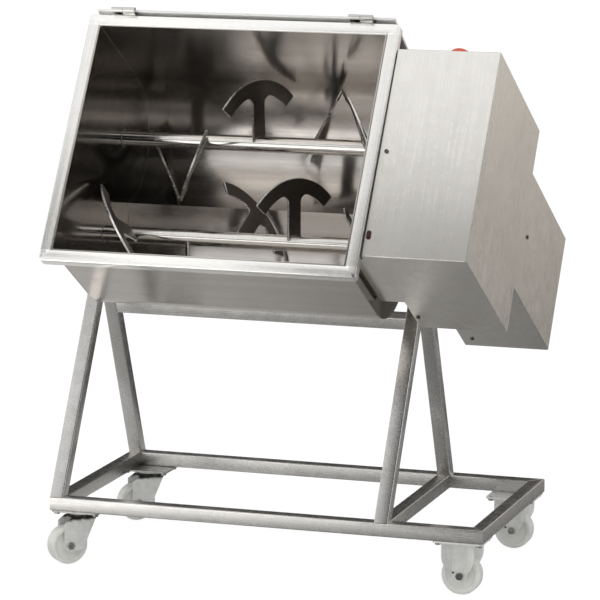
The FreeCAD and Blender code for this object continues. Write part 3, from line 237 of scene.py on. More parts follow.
@dataclass(frozen=True)
class Steel:
    """Stainless sheet, bar or tube: a directional ground grain, soft clouding and small wear."""

    name: str
    light: Triple
    dark: Triple
    roughness: float
    swing: float = 0.08
    grain: Axis = Axis.X
    density: float = 900.0
    stretch: float = 5.0
    clouds: float = 4.0
    relief: float = 0.12
    ripple: float = 0.0
    brushed: float = 0.75
    turn: Triple = HEAD_TURN
    waves: float = 5.0

    def build(self) -> Material:
        """Metal whose colour and roughness follow fine grain, broad streaks and clouds."""
        n = Nodes(self.name)
        along = self.grain.value
        fine, broad = [self.density] * 3, [self.density / STREAK_WIDTH] * 3
        fine[along], broad[along] = self.stretch, self.stretch / STREAK_LENGTH
        hair = n.noise(self.turn, fine, 2.0, 0.65)
        streak = n.noise(self.turn, broad, 3.0)
        cloud = n.noise(self.turn, [self.clouds] * 3, 3.0)
        mark = n.noise(self.turn, [self.clouds * MARK_DENSITY] * 3, 5.0, 0.7)
        tone = n.sum(n.spread(streak, 0.0, 0.38), n.spread(cloud, 0.0, 0.42))
        tone = n.sum(tone, n.spread(hair, -0.10, 0.16))
        n.give("Base Color", n.blend(tone, self.light, self.dark))
        sheen = n.sum(
            n.spread(hair, self.roughness - self.swing, self.roughness + self.swing),
            n.spread(mark, -self.swing * 0.5, self.swing * 0.6, 0.42, 0.72),
        )
        n.give("Roughness", sheen)
        n.give("Metallic", 1.0)
        n.brush(turned_about_x(np.eye(3)[along], -self.turn[0]), self.brushed)
        if self.ripple > 0:
            wave = n.noise(self.turn, [self.waves] * 3, 1.0)
            fuzz = n.spread(hair, 0.0, self.relief * 0.02)
            n.bump(n.sum(fuzz, n.spread(wave, 0.0, self.ripple, 0.2, 0.8)), 0.35, 0.004)
        else:
            n.bump(hair, self.relief, 0.0003)
        return n.material


@dataclass(frozen=True)
class Plated:
    """Zinc-plated pressed steel: faint spangle, duller patches and a fine orange-peel."""

    name: str
    light: Triple
    dark: Triple
    roughness: float = 0.3
    metal: float = 1.0
    race: Pair = (9.0, 9.1)
    patches: float = 70.0
    spangle: float = 260.0

    def build(self) -> Material:
        """Metal whose patches differ in tone and gloss.

        Between the two heights of the race, in metres, a painted shade darkens it, the shade under
        the swivel plate. The default race lies above every piece.
        """
        n = Nodes(self.name)
        patch = n.noise(LEVEL, [self.patches] * 3, 4.0)
        cell = n.add("ShaderNodeTexVoronoi", Scale=1.0, feature="F1")
        n.join(n.place(LEVEL, [self.spangle] * 3), cell.inputs["Vector"])
        tone = n.sum(n.spread(patch, 0.0, 0.8), n.spread(cell.outputs["Distance"], -0.1, 0.2, 0.1, 0.7))
        # Painted shade under the swivel plate: from the race upwards the colour darkens to near black,
        # lighter in patches.
        parts = n.add("ShaderNodeSeparateXYZ")
        n.join(n.place(LEVEL, [1.0] * 3), parts.inputs[0])
        low = n.spread(parts.outputs["Z"], 0.0, 1.4, *self.race)
        race_shade = n.sum(low, n.spread(patch, -0.5, 0.0, 0.35, 0.6))
        shade = n.add("ShaderNodeMix", data_type="RGBA", clamp_factor=True)
        shade.inputs["B"].default_value = (*RACE_SHADE, 1.0)
        n.join(race_shade, shade.inputs["Factor"])
        n.join(n.blend(tone, self.light, self.dark), shade.inputs["A"])
        n.give("Base Color", shade.outputs["Result"])
        n.give("Roughness", n.spread(patch, self.roughness - 0.08, self.roughness + 0.14))
        n.give("Metallic", self.metal)
        n.bump(patch, 0.15, 0.0006)
        return n.material


@dataclass(frozen=True)
class Moulded:
    """Moulded or painted piece: slight mottling, fine texture and scuffs."""

    name: str
    light: Triple
    dark: Triple
    roughness: float
    texture: float = 1500.0
    relief: float = 0.08
    scatter: float = 0.0
    coat: float = 0.0
    mottles: float = 40.0
    scuffs: Triple = (60.0, 500.0, 60.0)

    def build(self) -> Material:
        """Plastic or paint with mottled colour and uneven gloss."""
        n = Nodes(self.name)
        mottle = n.noise(LEVEL, [self.mottles] * 3, 4.0)
        grit = n.noise(LEVEL, [self.texture] * 3, 2.0)
        scuff = n.noise((20, 30, 10), self.scuffs, 4.0, 0.7)
        n.give("Base Color", n.blend(n.spread(mottle, 0.0, 1.0), self.light, self.dark))
        gloss = n.sum(
            n.spread(mottle, self.roughness - 0.05, self.roughness + 0.05),
            n.spread(scuff, 0.0, 0.14, 0.58, 0.75),
        )
        n.give("Roughness", gloss)
        if self.scatter > 0:
            n.give("Subsurface Weight", self.scatter)
            n.give("Subsurface Radius", (1.0, 1.0, 1.0))
            n.give("Subsurface Scale", 0.003)
        if self.coat > 0:
            n.give("Coat Weight", self.coat)
            n.give("Coat Roughness", 0.08)
        n.bump(grit, self.relief, 0.0002)
        return n.material


@dataclass
class Palette:
    """All finishes of the mixer, built once."""

    finishes: tuple[Steel | Plated | Moulded, ...] = (
        Steel("housing_satin", (0.89, 0.87, 0.827), (0.80, 0.782, 0.742), 0.34, 0.07, Axis.Y),
        # Darker, warmer copy of the housing's steel for the side panel: painted shade.
        Steel("panel_satin", (0.76, 0.73, 0.685), (0.62, 0.59, 0.55), 0.34, 0.08, Axis.Y),
        Steel("rim_satin", (0.99, 0.985, 0.965), (0.93, 0.925, 0.905), 0.24, 0.06, Axis.X, 700.0),
        Steel("lid_satin", (0.97, 0.965, 0.95), (0.90, 0.895, 0.88), 0.55, 0.06, Axis.X, 700.0),
        # Darker copy of the rim's steel for the side bars, whose grain runs along Y: painted shade.
        Steel("rim_side_satin", (0.87, 0.865, 0.84), (0.78, 0.77, 0.75), 0.26, 0.06, Axis.Y, 700.0),
        Steel("tub_polished", (0.65, 0.62, 0.59), (0.51, 0.485, 0.46), 0.20, 0.05, Axis.X, *POLISH, 0.8),
        # Darker copy of the tub's steel for its end walls: painted shade.
        Steel("tub_end_polished", (0.50, 0.475, 0.45), (0.38, 0.36, 0.335), 0.16, 0.05, Axis.Y, *POLISH, 0.6),
        Steel("shaft_polished", (0.80, 0.78, 0.75), (0.62, 0.60, 0.57), 0.12, 0.05, Axis.Y, 500.0),
        # One paddle steel in two copies: the dark faces are painted shade, the bright edges a painted
        # highlight.
        Steel("paddle_dark", (0.36, 0.335, 0.31), (0.24, 0.225, 0.21), 0.36, 0.08, Axis.X, 500.0, 9.0, 14.0),
        Steel("paddle_edge", (0.96, 0.94, 0.91), (0.80, 0.78, 0.75), 0.28, 0.08, Axis.X, 500.0),
        Steel("weld_bead", (0.58, 0.55, 0.50), (0.36, 0.33, 0.30), 0.38, 0.10, Axis.X, 700.0, 200.0, 60.0),
        Steel("frame_satin", *FRAME_GREYS, 0.30, grain=Axis.X, turn=LEVEL),
        Steel("frame_cross_satin", *FRAME_GREYS, 0.30, grain=Axis.Y, turn=LEVEL),
        Steel("frame_leg_satin", *FRAME_GREYS, 0.30, grain=Axis.Z, turn=LEVEL),
        Steel("turned_steel", (0.72, 0.71, 0.69), (0.54, 0.53, 0.51), 0.26, 0.06, density=400.0, turn=LEVEL),
        Steel(
            "nut_steel", (0.80, 0.79, 0.77), (0.09, 0.087, 0.082), 0.26,
            density=260.0, stretch=240.0, clouds=70.0, turn=LEVEL,
        ),
        Steel(
            "screw_dark", (0.16, 0.155, 0.15), (0.07, 0.068, 0.065), 0.3,
            density=300.0, stretch=60.0, clouds=40.0, turn=LEVEL,
        ),
        Steel("gear_cut", (0.46, 0.46, 0.46), (0.30, 0.30, 0.30), 0.34, 0.10, density=300.0),
        Plated("zinc_bright", *ZINC_GREYS, 0.40, 0.4),
        # Its race holds the painted shade under the swivel plates.
        Plated("zinc_swivel", *ZINC_GREYS, 0.40, 0.4, (0.094, 0.102)),
        Plated("zinc_plate", (0.60, 0.60, 0.58), (0.40, 0.40, 0.385), 0.36),
        Plated("reducer_casting", (0.60, 0.61, 0.62), (0.46, 0.47, 0.48), 0.48),
        Moulded("nylon_white", (0.79, 0.80, 0.76), (0.70, 0.705, 0.67), 0.36, 1200.0, 0.06, 0.25),
        Moulded("motor_paint", (0.24, 0.29, 0.36), (0.17, 0.21, 0.27), 0.42, 700.0, 0.15),
        Moulded("iron_paint", (0.34, 0.35, 0.36), (0.24, 0.25, 0.26), 0.46, 500.0, 0.25),
        Moulded("button_red", (0.70, 0.075, 0.03), (0.58, 0.05, 0.02), 0.28, 1500.0, 0.03, 0.0, 0.5),
        Moulded("button_green", (0.06, 0.34, 0.12), (0.04, 0.25, 0.08), 0.28, 1500.0, 0.03, 0.0, 0.5),
        Moulded("black_plastic", (0.035, 0.035, 0.037), (0.02, 0.02, 0.022), 0.4, 900.0, 0.12),
        # Near black that stands for the inside of a hole: painted shade.
        Moulded("hole_dark", (0.01, 0.01, 0.01), (0.004, 0.004, 0.004), 0.6, 900.0, 0.05),
        Moulded("lens_red", (0.05, 0.003, 0.002), (0.025, 0.002, 0.002), 0.35, 900.0, 0.02, 0.0, 0.1),
    )
    made: dict[str, Material] = field(default_factory=dict)

    def __getitem__(self, name: str) -> Material:
        """The named finish's material, made the first time it is asked for."""
        if name not in self.made:
            finish = next(f for f in self.finishes if f.name == name)
            self.made[name] = finish.build()
        return self.made[name]


# Shapes

# Radius that stands for zero where a revolved profile meets its axis.
POINT = 0.01
# Distances in metres at which vertices are merged, in drawn surfaces and in CAD nodes.
DRAWN_MERGE, NODE_MERGE = 2e-6, 1e-6


def arc(centre: Vec, radius: float, start: float, end: float, count: int) -> Array:
    """Points of a circle's arc: centre + radius (cos t, sin t) for t from start to end.

    Args:
        centre: two coordinates.
        radius: the arc's radius.
        start: first angle in degrees.
        end: last angle in degrees.
        count: number of points.

    Returns:
        Array of shape (count, 2).
    """
    t = np.radians(np.linspace(start, end, count))
    return np.stack([centre[0] + radius * np.cos(t), centre[1] + radius * np.sin(t)], axis=1)


def rounded_rectangle(width: float, height: float, radius: float, steps: int = 5) -> Array:
    """Closed loop round a rectangle centred on zero: four quarter arcs joined by straight sides.

    Args:
        width: size along the first axis.
        height: size along the second axis.
        radius: corner radius.
        steps: points in each corner.

    Returns:
        Array of shape (4 * steps, 2), anticlockwise.
    """
    a, b = width / 2 - radius, height / 2 - radius
    corners = [((a, b), 0.0), ((-a, b), 90.0), ((-a, -b), 180.0), ((a, -b), 270.0)]
    return np.concatenate([arc(c, radius, t, t + 90.0, steps) for c, t in corners])


def turned_about_x(points: Array, degrees: float) -> Array:
    """Points turned about the X axis: y' = y cos t - z sin t, z' = y sin t + z cos t."""
    c, s = math.cos(math.radians(degrees)), math.sin(math.radians(degrees))
    return points @ np.array([[1, 0, 0], [0, c, s], [0, -s, c]])


def turned_about_y(points: Array, degrees: float) -> Array:
    """Points turned about the Y axis: x' = x cos t + z sin t, z' = z cos t - x sin t."""
    c, s = math.cos(math.radians(degrees)), math.sin(math.radians(degrees))
    return points @ np.array([[c, 0, -s], [0, 1, 0], [s, 0, c]])


@dataclass
class Surface:
    """Patches of vertices and faces gathered for one piece, in metres."""

    points: list[Array] = field(default_factory=list)
    faces: list[list[int]] = field(default_factory=list)
    tints: list[int] = field(default_factory=list)
    count: int = 0

    def grid(
        self, points: Array, wrap_rows: bool = False, wrap_columns: bool = True, tint: int = 0
    ) -> Surface:
        """Adds a surface sampled on a grid: quads between neighbouring rows and columns.

        Args:
            points: array of shape (rows, columns, 3).
            wrap_rows: joins the last row to the first.
            wrap_columns: joins the last column to the first.
            tint: material index.

        Returns:
            The surface itself.
        """
        rows, columns = points.shape[:2]
        index = np.arange(rows * columns).reshape(rows, columns) + self.count
        if wrap_rows:
            index = np.concatenate([index, index[:1]], axis=0)
        if wrap_columns:
            index = np.concatenate([index, index[:, :1]], axis=1)
        quads = np.stack([index[:-1, :-1], index[:-1, 1:], index[1:, 1:], index[1:, :-1]], axis=-1)
        quads = quads.reshape(-1, 4)
        self.points.append(points.reshape(-1, 3))
        self.faces.extend(quads.tolist())
        self.tints.extend([tint] * len(quads))
        self.count += rows * columns
        return self

    def cap(self, loop: Array, flip: bool = False, tint: int = 0) -> None:
        """Adds one flat face through a closed loop of points.

        Args:
            loop: array of shape (n, 3).
            flip: turns the face over.
            tint: material index.
        """
        index = list(range(self.count, self.count + len(loop)))
        self.points.append(loop)
        self.faces.append(index[::-1] if flip else index)
        self.tints.append(tint)
        self.count += len(loop)

    def tube(self, rings: Array, tint: int = 0) -> None:
        """Adds a skin over stacked rings, closed by a flat face at both ends.

        Args:
            rings: array of shape (rings, points, 3).
            tint: material index.
        """
        self.grid(rings, tint=tint)
        self.cap(rings[0], True, tint)
        self.cap(rings[-1], False, tint)

    def mesh(self, name: str) -> bpy.types.Mesh:
        """The gathered patches as a mesh without materials."""
        mesh = bpy.data.meshes.new(name)
        mesh.from_pydata(np.concatenate(self.points).tolist(), [], self.faces)
        return mesh

    def build(
        self, name: str, materials: Sequence[Material], body: str, slot: str,
        replaces: Sequence[str] = (), sharp: float = SHARP,
    ) -> None:
        """Closes the seams, turns the faces outwards and hands the piece to the frame.

        Args:
            name: the piece's name.
            materials: materials in the order of the tints.
            body: CAD body that carries it.
            slot: record's material slot; not used.
            replaces: CAD nodes that it stands for.
            sharp: angle in degrees above which an edge stays sharp.
        """
        mesh = self.mesh(name)
        mesh.polygons.foreach_set("material_index", np.array(self.tints, np.int32))
        work = bmesh.new()
        work.from_mesh(mesh)
        bmesh.ops.remove_doubles(work, verts=work.verts, dist=DRAWN_MERGE)
        bmesh.ops.recalc_face_normals(work, faces=work.faces)
        work.to_mesh(mesh)
        work.free()
        hand_over(mesh, materials, body, replaces, sharp)


def placed(name: str, data: bpy.types.ID) -> bpy.types.Object:
    """A new object with this data, linked into the scene."""
    item = bpy.data.objects.new(name, data)
    bpy.context.scene.collection.objects.link(item)
    return item


def hand_over(
    mesh: bpy.types.Mesh, materials: Sequence[Material], body: str,
    replaces: Sequence[str], sharp: float,
) -> bpy.types.Object:
    """Puts a mesh into the scene as a piece that rides on a body.

    The mesh has the piece's name and place. The other arguments are those of Surface.build.

    Returns:
        The object.
    """
    for material in materials:
        mesh.materials.append(material)
    mesh.shade_smooth()
    mesh.set_sharp_from_angle(angle=math.radians(sharp))
    piece = placed(mesh.name, mesh)
    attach(piece, body)
    if replaces:
        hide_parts(*replaces)
    log.info("piece %s: %d vertices on %s", piece.name, len(mesh.vertices), body)
    return piece


def revolved(profile: Array, segments: int = 64) -> Array:
    """A profile of (along, radius) pairs spun round the X axis.

    Point (i, j) is (along_i, radius_i cos t_j, radius_i sin t_j) for t_j round the circle.

    Args:
        profile: array of shape (rows, 2).
        segments: points round the circle.

    Returns:
        Array of shape (rows, segments, 3).
    """
    t = np.linspace(0.0, 2 * math.pi, segments, endpoint=False)
    along = np.repeat(profile[:, :1], segments, axis=1)
    radius = profile[:, 1:2]
    return np.stack([along, radius * np.cos(t), radius * np.sin(t)], axis=-1)


def wire_path(path: Array, radius: float, sides: int = 8) -> Array:
    """A round bead along a path: a circle in each point's normal plane.

    Args:
        path: array of shape (n, 3).
        radius: bead radius.
        sides: points round the circle.

    Returns:
        Array of shape (n, sides, 3).
    """
    along = np.gradient(path, axis=0)
    along /= np.linalg.norm(along, axis=1, keepdims=True)
    guide = np.array([0.0, 0.0, 1.0]) if abs(along[:, 2]).max() < 0.9 else np.array([0.0, 1.0, 0.0])
    first = np.cross(along, guide)
    first /= np.linalg.norm(first, axis=1, keepdims=True)
    second = np.cross(along, first)
    t = np.linspace(0.0, 2 * math.pi, sides, endpoint=False)[None, :, None]
    return path[:, None] + radius * (np.cos(t) * first[:, None] + np.sin(t) * second[:, None])


def softened(node: str, material: Material, frame: dict, width: float) -> None:
    """Copy of a CAD node with welded vertices and broken edges, in place of the node.

    Args:
        node: the CAD node.
        material: its finish.
        frame: the loaded frame.
        width: how far its edges are broken, in metres.
    """
    flat_angle, edge_angle = math.radians(0.5), math.radians(40.0)
    source = frame["nodes"][node]
    mesh = source.data.copy()
    mesh.name = node + "_dressed"
    mesh.materials.clear()
    work = bmesh.new()
    work.from_mesh(mesh)
    bmesh.ops.remove_doubles(work, verts=work.verts, dist=NODE_MERGE)
    bmesh.ops.dissolve_limit(work, angle_limit=flat_angle, verts=work.verts, edges=work.edges)
    for face in work.faces:
        face.material_index = 0
    work.to_mesh(mesh)
    work.free()
    piece = hand_over(mesh, [material], source["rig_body"], [node], SHARP)
    bevel = piece.modifiers.new("broken_edges", "BEVEL")
    bevel.width = width
    bevel.segments = 2
    bevel.limit_method = "ANGLE"
    bevel.angle_limit = edge_angle
    bevel.harden_normals = True
    bevel.use_clamp_overlap = True


# Sub-assemblies


@dataclass(frozen=True)
class Base:
    """Sizes of the trolley that its own pieces and the head's pivot share, in millimetres."""

    tube: float = 30.0
    half_length: float = 490.0
    half_depth: float = 252.5
    underside: float = 119.5
    lean_front: float = 29.33
    lean_rear: float = 21.07

    @property
    def rail_top(self) -> float:
        """Height of the rails' upper faces."""
        return self.underside + self.tube

    @property
    def pivot(self) -> Pair:
        """(y, z) where the middle lines of a front and a rear leg cross.

        Each foot reaches tube / (2 cos lean) inside the base's edge, and the legs rise
        until their two leans have closed the distance between the feet.
        """
        front, rear = math.radians(self.lean_front), math.radians(self.lean_rear)
        foot = -self.half_depth + self.tube / 2 / math.cos(front)
        back = self.half_depth - self.tube / 2 / math.cos(rear)
        rise = (back - foot) / (math.tan(front) + math.tan(rear))
        return foot + rise * math.tan(front), self.rail_top + rise


@dataclass
class Head:
    """Sizes shared by everything that tips with the tub, in millimetres."""

    base: Base
    pivot_y_in_head: float = -91.0
    pivot_depth: float = 411.0
    tilt: float = TILT
    shaft_y: float = 115.0
    shaft_depth: float = 255.0

    def tip(self, points: Array) -> Array:
        """Carries upright head points to their place on the tipped head.

        The points are shifted so that the trunnions are at zero, turned about X by the
        tilt and shifted onto the stand's pivot.

        Args:
            points: array whose last axis is (x, y, z) in millimetres.

        Returns:
            The same array in metres in the row frame.
        """
        shifted = points + np.array([0.0, -self.pivot_y_in_head, self.pivot_depth])
        return (turned_about_x(shifted, self.tilt) + [0.0, *self.base.pivot]) * MM


@dataclass
class Tub:
    """Double-trough tub with its square rim bar and the welds in its corners, in millimetres."""

    head: Head
    palette: Palette
    frame: dict
    left: float = -415.0
    right: float = 230.0
    half_width: float = 265.0
    sheet: float = 2.0
    rim_bar: float = 25.0
    rim_corner: float = 8.0
    rim_edge: float = 2.5
    rim_gap: float = 3.0
    lip: float = -0.4
    bend: float = -240.0
    weld_inset: float = 0.6
    weld_radius: float = 1.2

    def trough_line(self, inset: float, steps: int = 72) -> Array:
        """Section of the tub: straight wall, two arcs that meet on a ridge, straight wall.

        Each arc is centre + r (cos t, sin t) about a shaft, from the wall to the ridge,
        where z = -depth + sqrt(r^2 - shaft_y^2).

        Args:
            inset: distance inside the outer skin.
            steps: points along each arc.

        Returns:
            Array of (y, z) pairs from the front lip to the back lip.
        """
        r = self.half_width - self.head.shaft_y - inset
        stop = -math.degrees(math.acos(self.head.shaft_y / r))
        front = arc((-self.head.shaft_y, -self.head.shaft_depth), r, -180.0, stop, steps)
        back = front[::-1] * [-1.0, 1.0]
        level = np.linspace(self.lip, self.bend, 10)
        wall = np.stack([np.full(10, -r - self.head.shaft_y), level], axis=1)
        return np.concatenate([wall, front, back[1:], wall[::-1] * [-1.0, 1.0]])

    def shell(self) -> None:
        """The folded sheet: outer and inner section joined over the lips, carried along X."""
        loop = np.concatenate([self.trough_line(0.0), self.trough_line(self.sheet)[::-1]])
        x = np.linspace(self.left, self.right, 14)
        rings = np.empty((len(x), len(loop), 3))
        rings[..., 0] = x[:, None]
        rings[..., 1:] = loop
        finishes = [self.palette["tub_polished"]]
        shell = Surface().grid(self.head.tip(rings))
        shell.build("tub_shell_dressed", finishes, "head", "tub_steel", ["tub_shell"])

    def corner_welds(self) -> None:
        """Ground weld along each end wall: a small round carried along the inner section."""
        line = self.trough_line(self.sheet + self.weld_inset)
        surface = Surface()
        for x in (self.left + self.weld_inset, self.right - self.weld_inset):
            path = np.concatenate([np.full((len(line), 1), x), line], axis=1)
            surface.tube(wire_path(self.head.tip(path), self.weld_radius * MM))
        surface.build("tub_corner_welds", [self.palette["tub_polished"]], "head", "tub_steel")

    def rim(self) -> None:
        """Square bar round the mouth: full front and back bars, side bars butted between them.

        Each point of the bar's section is a rounded rectangle inset from the outer edge,
        whose corner radius shrinks by the inset until the corner is sharp. A ring at each
        butt joint parts the two directions of grain.
        """
        half = self.rim_bar / 2
        section = rounded_rectangle(self.rim_bar, self.rim_bar, self.rim_edge, 4)
        a = (self.right - self.left) / 2 + self.rim_gap + self.rim_bar
        b = self.half_width + self.rim_bar
        inset = section[:, 0] + half
        radius = np.maximum(self.rim_corner - inset, 0.02)
        t = np.radians(np.linspace(0.0, 90.0, 7))
        corners, joints = [], []
        for k, (sx, sy) in enumerate(((1, 1), (-1, 1), (-1, -1), (1, -1))):
            turn = t[:, None] + k * math.pi / 2
            x = sx * (a - inset - radius) + radius * np.cos(turn)
            y = sy * (b - inset - radius) + radius * np.sin(turn)
            z = np.broadcast_to(section[:, 1] - half, x.shape)
            corners.append(np.stack([x, y, z], axis=-1) + [(self.right + self.left) / 2, 0, 0])
            joint = corners[-1][:1].copy()
            joint[..., 0] = sx * (a - inset) + (self.right + self.left) / 2
            joint[..., 1] = sy * self.half_width
            joints.append(joint)
        surface = Surface()
        for start, end in ((0, 1), (2, 3)):
            bar = np.concatenate([joints[start], corners[start], corners[end], joints[end]])
            side = np.concatenate([joints[end], joints[(end + 1) % 4]])
            surface.grid(self.head.tip(bar), tint=0)
            surface.grid(self.head.tip(side), tint=1)
        # The side bars take the darker copy of the rim's steel: painted shade.
        finishes = [self.palette["rim_satin"], self.palette["rim_side_satin"]]
        surface.build("rim_bar_dressed", finishes, "head", "rim_steel", ["rim_frame"])

    def build(self) -> None:
        """Makes the tub's pieces and dresses its end walls."""
        self.shell()
        self.corner_welds()
        self.rim()
        # The end walls take the darker copy of the tub's steel, a painted shade.
        for node in ("tub_end_left", "tub_end_right"):
            paint(self.frame, node, self.palette["tub_end_polished"])


@dataclass
class MixingTools:
    """One shaft with its five twisted T paddles and the welds at their feet."""

    head: Head
    palette: Palette
    side: Side
    angles: tuple[float, ...]
    twists: tuple[float, ...]
    end: float
    stations: tuple[float, ...] = (-344.0, -222.0, -100.0, 22.0, 144.0)
    shaft: float = 17.5
    journal: float = 14.9
    outer: float = 141.0
    band: float = 32.0
    spread: float = 50.0
    stem: float = 18.0
    thickness: float = 5.0
    fillet: float = 15.0
    tip_round: float = 3.0
    chamfer: float = 1.0
    weld_radius: float = 1.9
    weld_end: float = 1.5
    foot: float = 4.0
    start: float = -440.0
    shoulders: Pair = (-414.5, 229.5)
    same: float = 0.01

    @property
    def word(self) -> str:
        """Name part of this shaft's nodes."""
        return self.side.name.lower()

    def outline(self) -> Array:
        """Closed T outline: stem sides, round throats, the crown's inner and outer arcs.

        The throat's centre lies at the fillet radius from the stem's side and from the
        crown's inner arc, and the tips are rounded by arcs tangent to both crown arcs.

        Returns:
            Array of (radial, tangential) pairs, anticlockwise.
        """
        inner = self.outer - self.band
        throat_y = self.stem + self.fillet
        throat_x = math.sqrt((inner - self.fillet) ** 2 - throat_y**2)
        leave = math.degrees(math.atan2(throat_y, throat_x))
        r = self.tip_round
        half = self.spread
        back = [
            arc((throat_x, -throat_y), self.fillet, 90.0, -leave, 9),
            arc((0, 0), inner, -leave, -half + math.degrees(r / inner), 12),
        ]
        t_in = math.radians(half - math.degrees(r / (inner + r)))
        t_out = math.radians(half - math.degrees(r / (self.outer - r)))
        c_in = ((inner + r) * math.cos(t_in), -(inner + r) * math.sin(t_in))
        c_out = ((self.outer - r) * math.cos(t_out), -(self.outer - r) * math.sin(t_out))
        back.append(arc(c_in, r, 180.0 - half, 270.0 - half, 5))
        back.append(arc(c_out, r, -90.0 - half, -half, 5))
        lower = np.concatenate([np.array([[self.foot, -self.stem]]), *back])
        edge = half - math.degrees(r / self.outer)
        crown = arc((0, 0), self.outer, -edge, edge, 30)
        upper = lower[::-1] * [1.0, -1.0]
        loop = np.concatenate([lower, crown, upper])
        return loop[np.linalg.norm(loop - np.roll(loop, 1, axis=0), axis=1) > self.same]

    def stand(self, points: Array, station: float, angle: float, twist: float) -> Array:
        """Puts blank points (radial, tangential, across) on the shaft as (Y, Z, X).

        They are twisted about the stem, turned about the shaft and moved to the station.

        Args:
            points: array whose last axis is the blank's coordinates in millimetres.
            station: place along the shaft.
            angle: turn about the shaft from +Y towards the mouth, in degrees.
            twist: turn about the stem, in degrees.

        Returns:
            The same array in metres in the row frame.
        """
        upright = turned_about_x(turned_about_y(np.roll(points, 1, axis=-1), twist), angle)
        offset = [station, self.side.value * self.head.shaft_y, -self.head.shaft_depth]
        return self.head.tip(upright + offset)

    def paddle(self, number: int) -> None:
        """One paddle: faces in a painted shade, ground edges with a small chamfer in a painted highlight.

        Four copies of the outline carry the skin: the face loop is pulled in along the
        outline's normals by the chamfer.

        Args:
            number: position on the shaft, from 1.
        """
        loop = self.outline()
        ahead = np.roll(loop, -1, axis=0) - np.roll(loop, 1, axis=0)
        ahead /= np.linalg.norm(ahead, axis=1, keepdims=True)
        normal = np.stack([ahead[:, 1], -ahead[:, 0]], axis=1)
        half, pulled = self.thickness / 2, loop - normal * self.chamfer
        layers = [
            (pulled, -half), (loop, -half + self.chamfer), (loop, half - self.chamfer), (pulled, half),
        ]
        rings = np.stack(
            [np.concatenate([flat, np.full((len(flat), 1), level)], axis=1) for flat, level in layers]
        )
        k = number - 1
        rings = self.stand(rings, self.stations[k], self.angles[k], self.twists[k])
        surface = Surface().grid(rings, tint=1)
        surface.cap(rings[0], True, 0)
        surface.cap(rings[-1], False, 0)
        node = f"{self.word}_paddle_{number}"
        finishes = [self.palette["paddle_dark"], self.palette["paddle_edge"]]
        surface.build(node + "_dressed", finishes, self.word + "_mixer", "paddle_steel", [node])

    def foot_welds(self) -> None:
        """Weld beads where the stems meet the shaft.

        Along a face at distance h from the stem's middle plane, the shaft's surface lies at
        sqrt(r^2 - (y cos twist - h sin twist)^2) along the stem.
        """
        surface = Surface()
        across = np.linspace(-self.stem + self.weld_end, self.stem - self.weld_end, 17)
        for station, angle, twist in zip(self.stations, self.angles, self.twists):
            turn = math.radians(twist)
            for h in (-self.thickness / 2, self.thickness / 2):
                away = across * math.cos(turn) - h * math.sin(turn)
                height = np.sqrt(np.maximum(self.shaft**2 - away**2, 1.0))
                path = np.stack([height, across, np.full_like(across, h)], axis=1)
                stood = self.stand(path, station, angle, twist)
                surface.tube(wire_path(stood, self.weld_radius * MM))
        finishes = [self.palette["weld_bead"]]
        surface.build(self.word + "_foot_welds", finishes, self.word + "_mixer", "paddle_steel")

    def bar(self) -> None:
        """The shaft: a turned bar with a shoulder and thinner journals."""
        start, end, (left, right) = self.start, self.end, self.shoulders
        thin, full, ease = self.journal, self.shaft, 0.8
        profile = np.array(
            [
                (start, POINT), (start, thin - 1), (start + 1, thin), (left, thin), (left, full - ease),
                (left + ease, full), (-200.0, full), (0.0, full), (right - ease, full),
                (right, full - ease), (right, thin), (end - 1, thin), (end, thin - 1), (end, POINT),
            ]
        )
        middle = [0.0, self.side.value * self.head.shaft_y, -self.head.shaft_depth]
        bar = Surface().grid(self.head.tip(revolved(profile, 72) + middle))
        node, finishes = self.word + "_shaft", [self.palette["shaft_polished"]]
        bar.build(node + "_dressed", finishes, self.word + "_mixer", "shaft_steel", [node])

    def build(self) -> None:
        """Makes the shaft, its paddles and their welds."""
        self.bar()
        for number in range(1, len(self.stations) + 1):
            self.paddle(number)
        self.foot_welds()


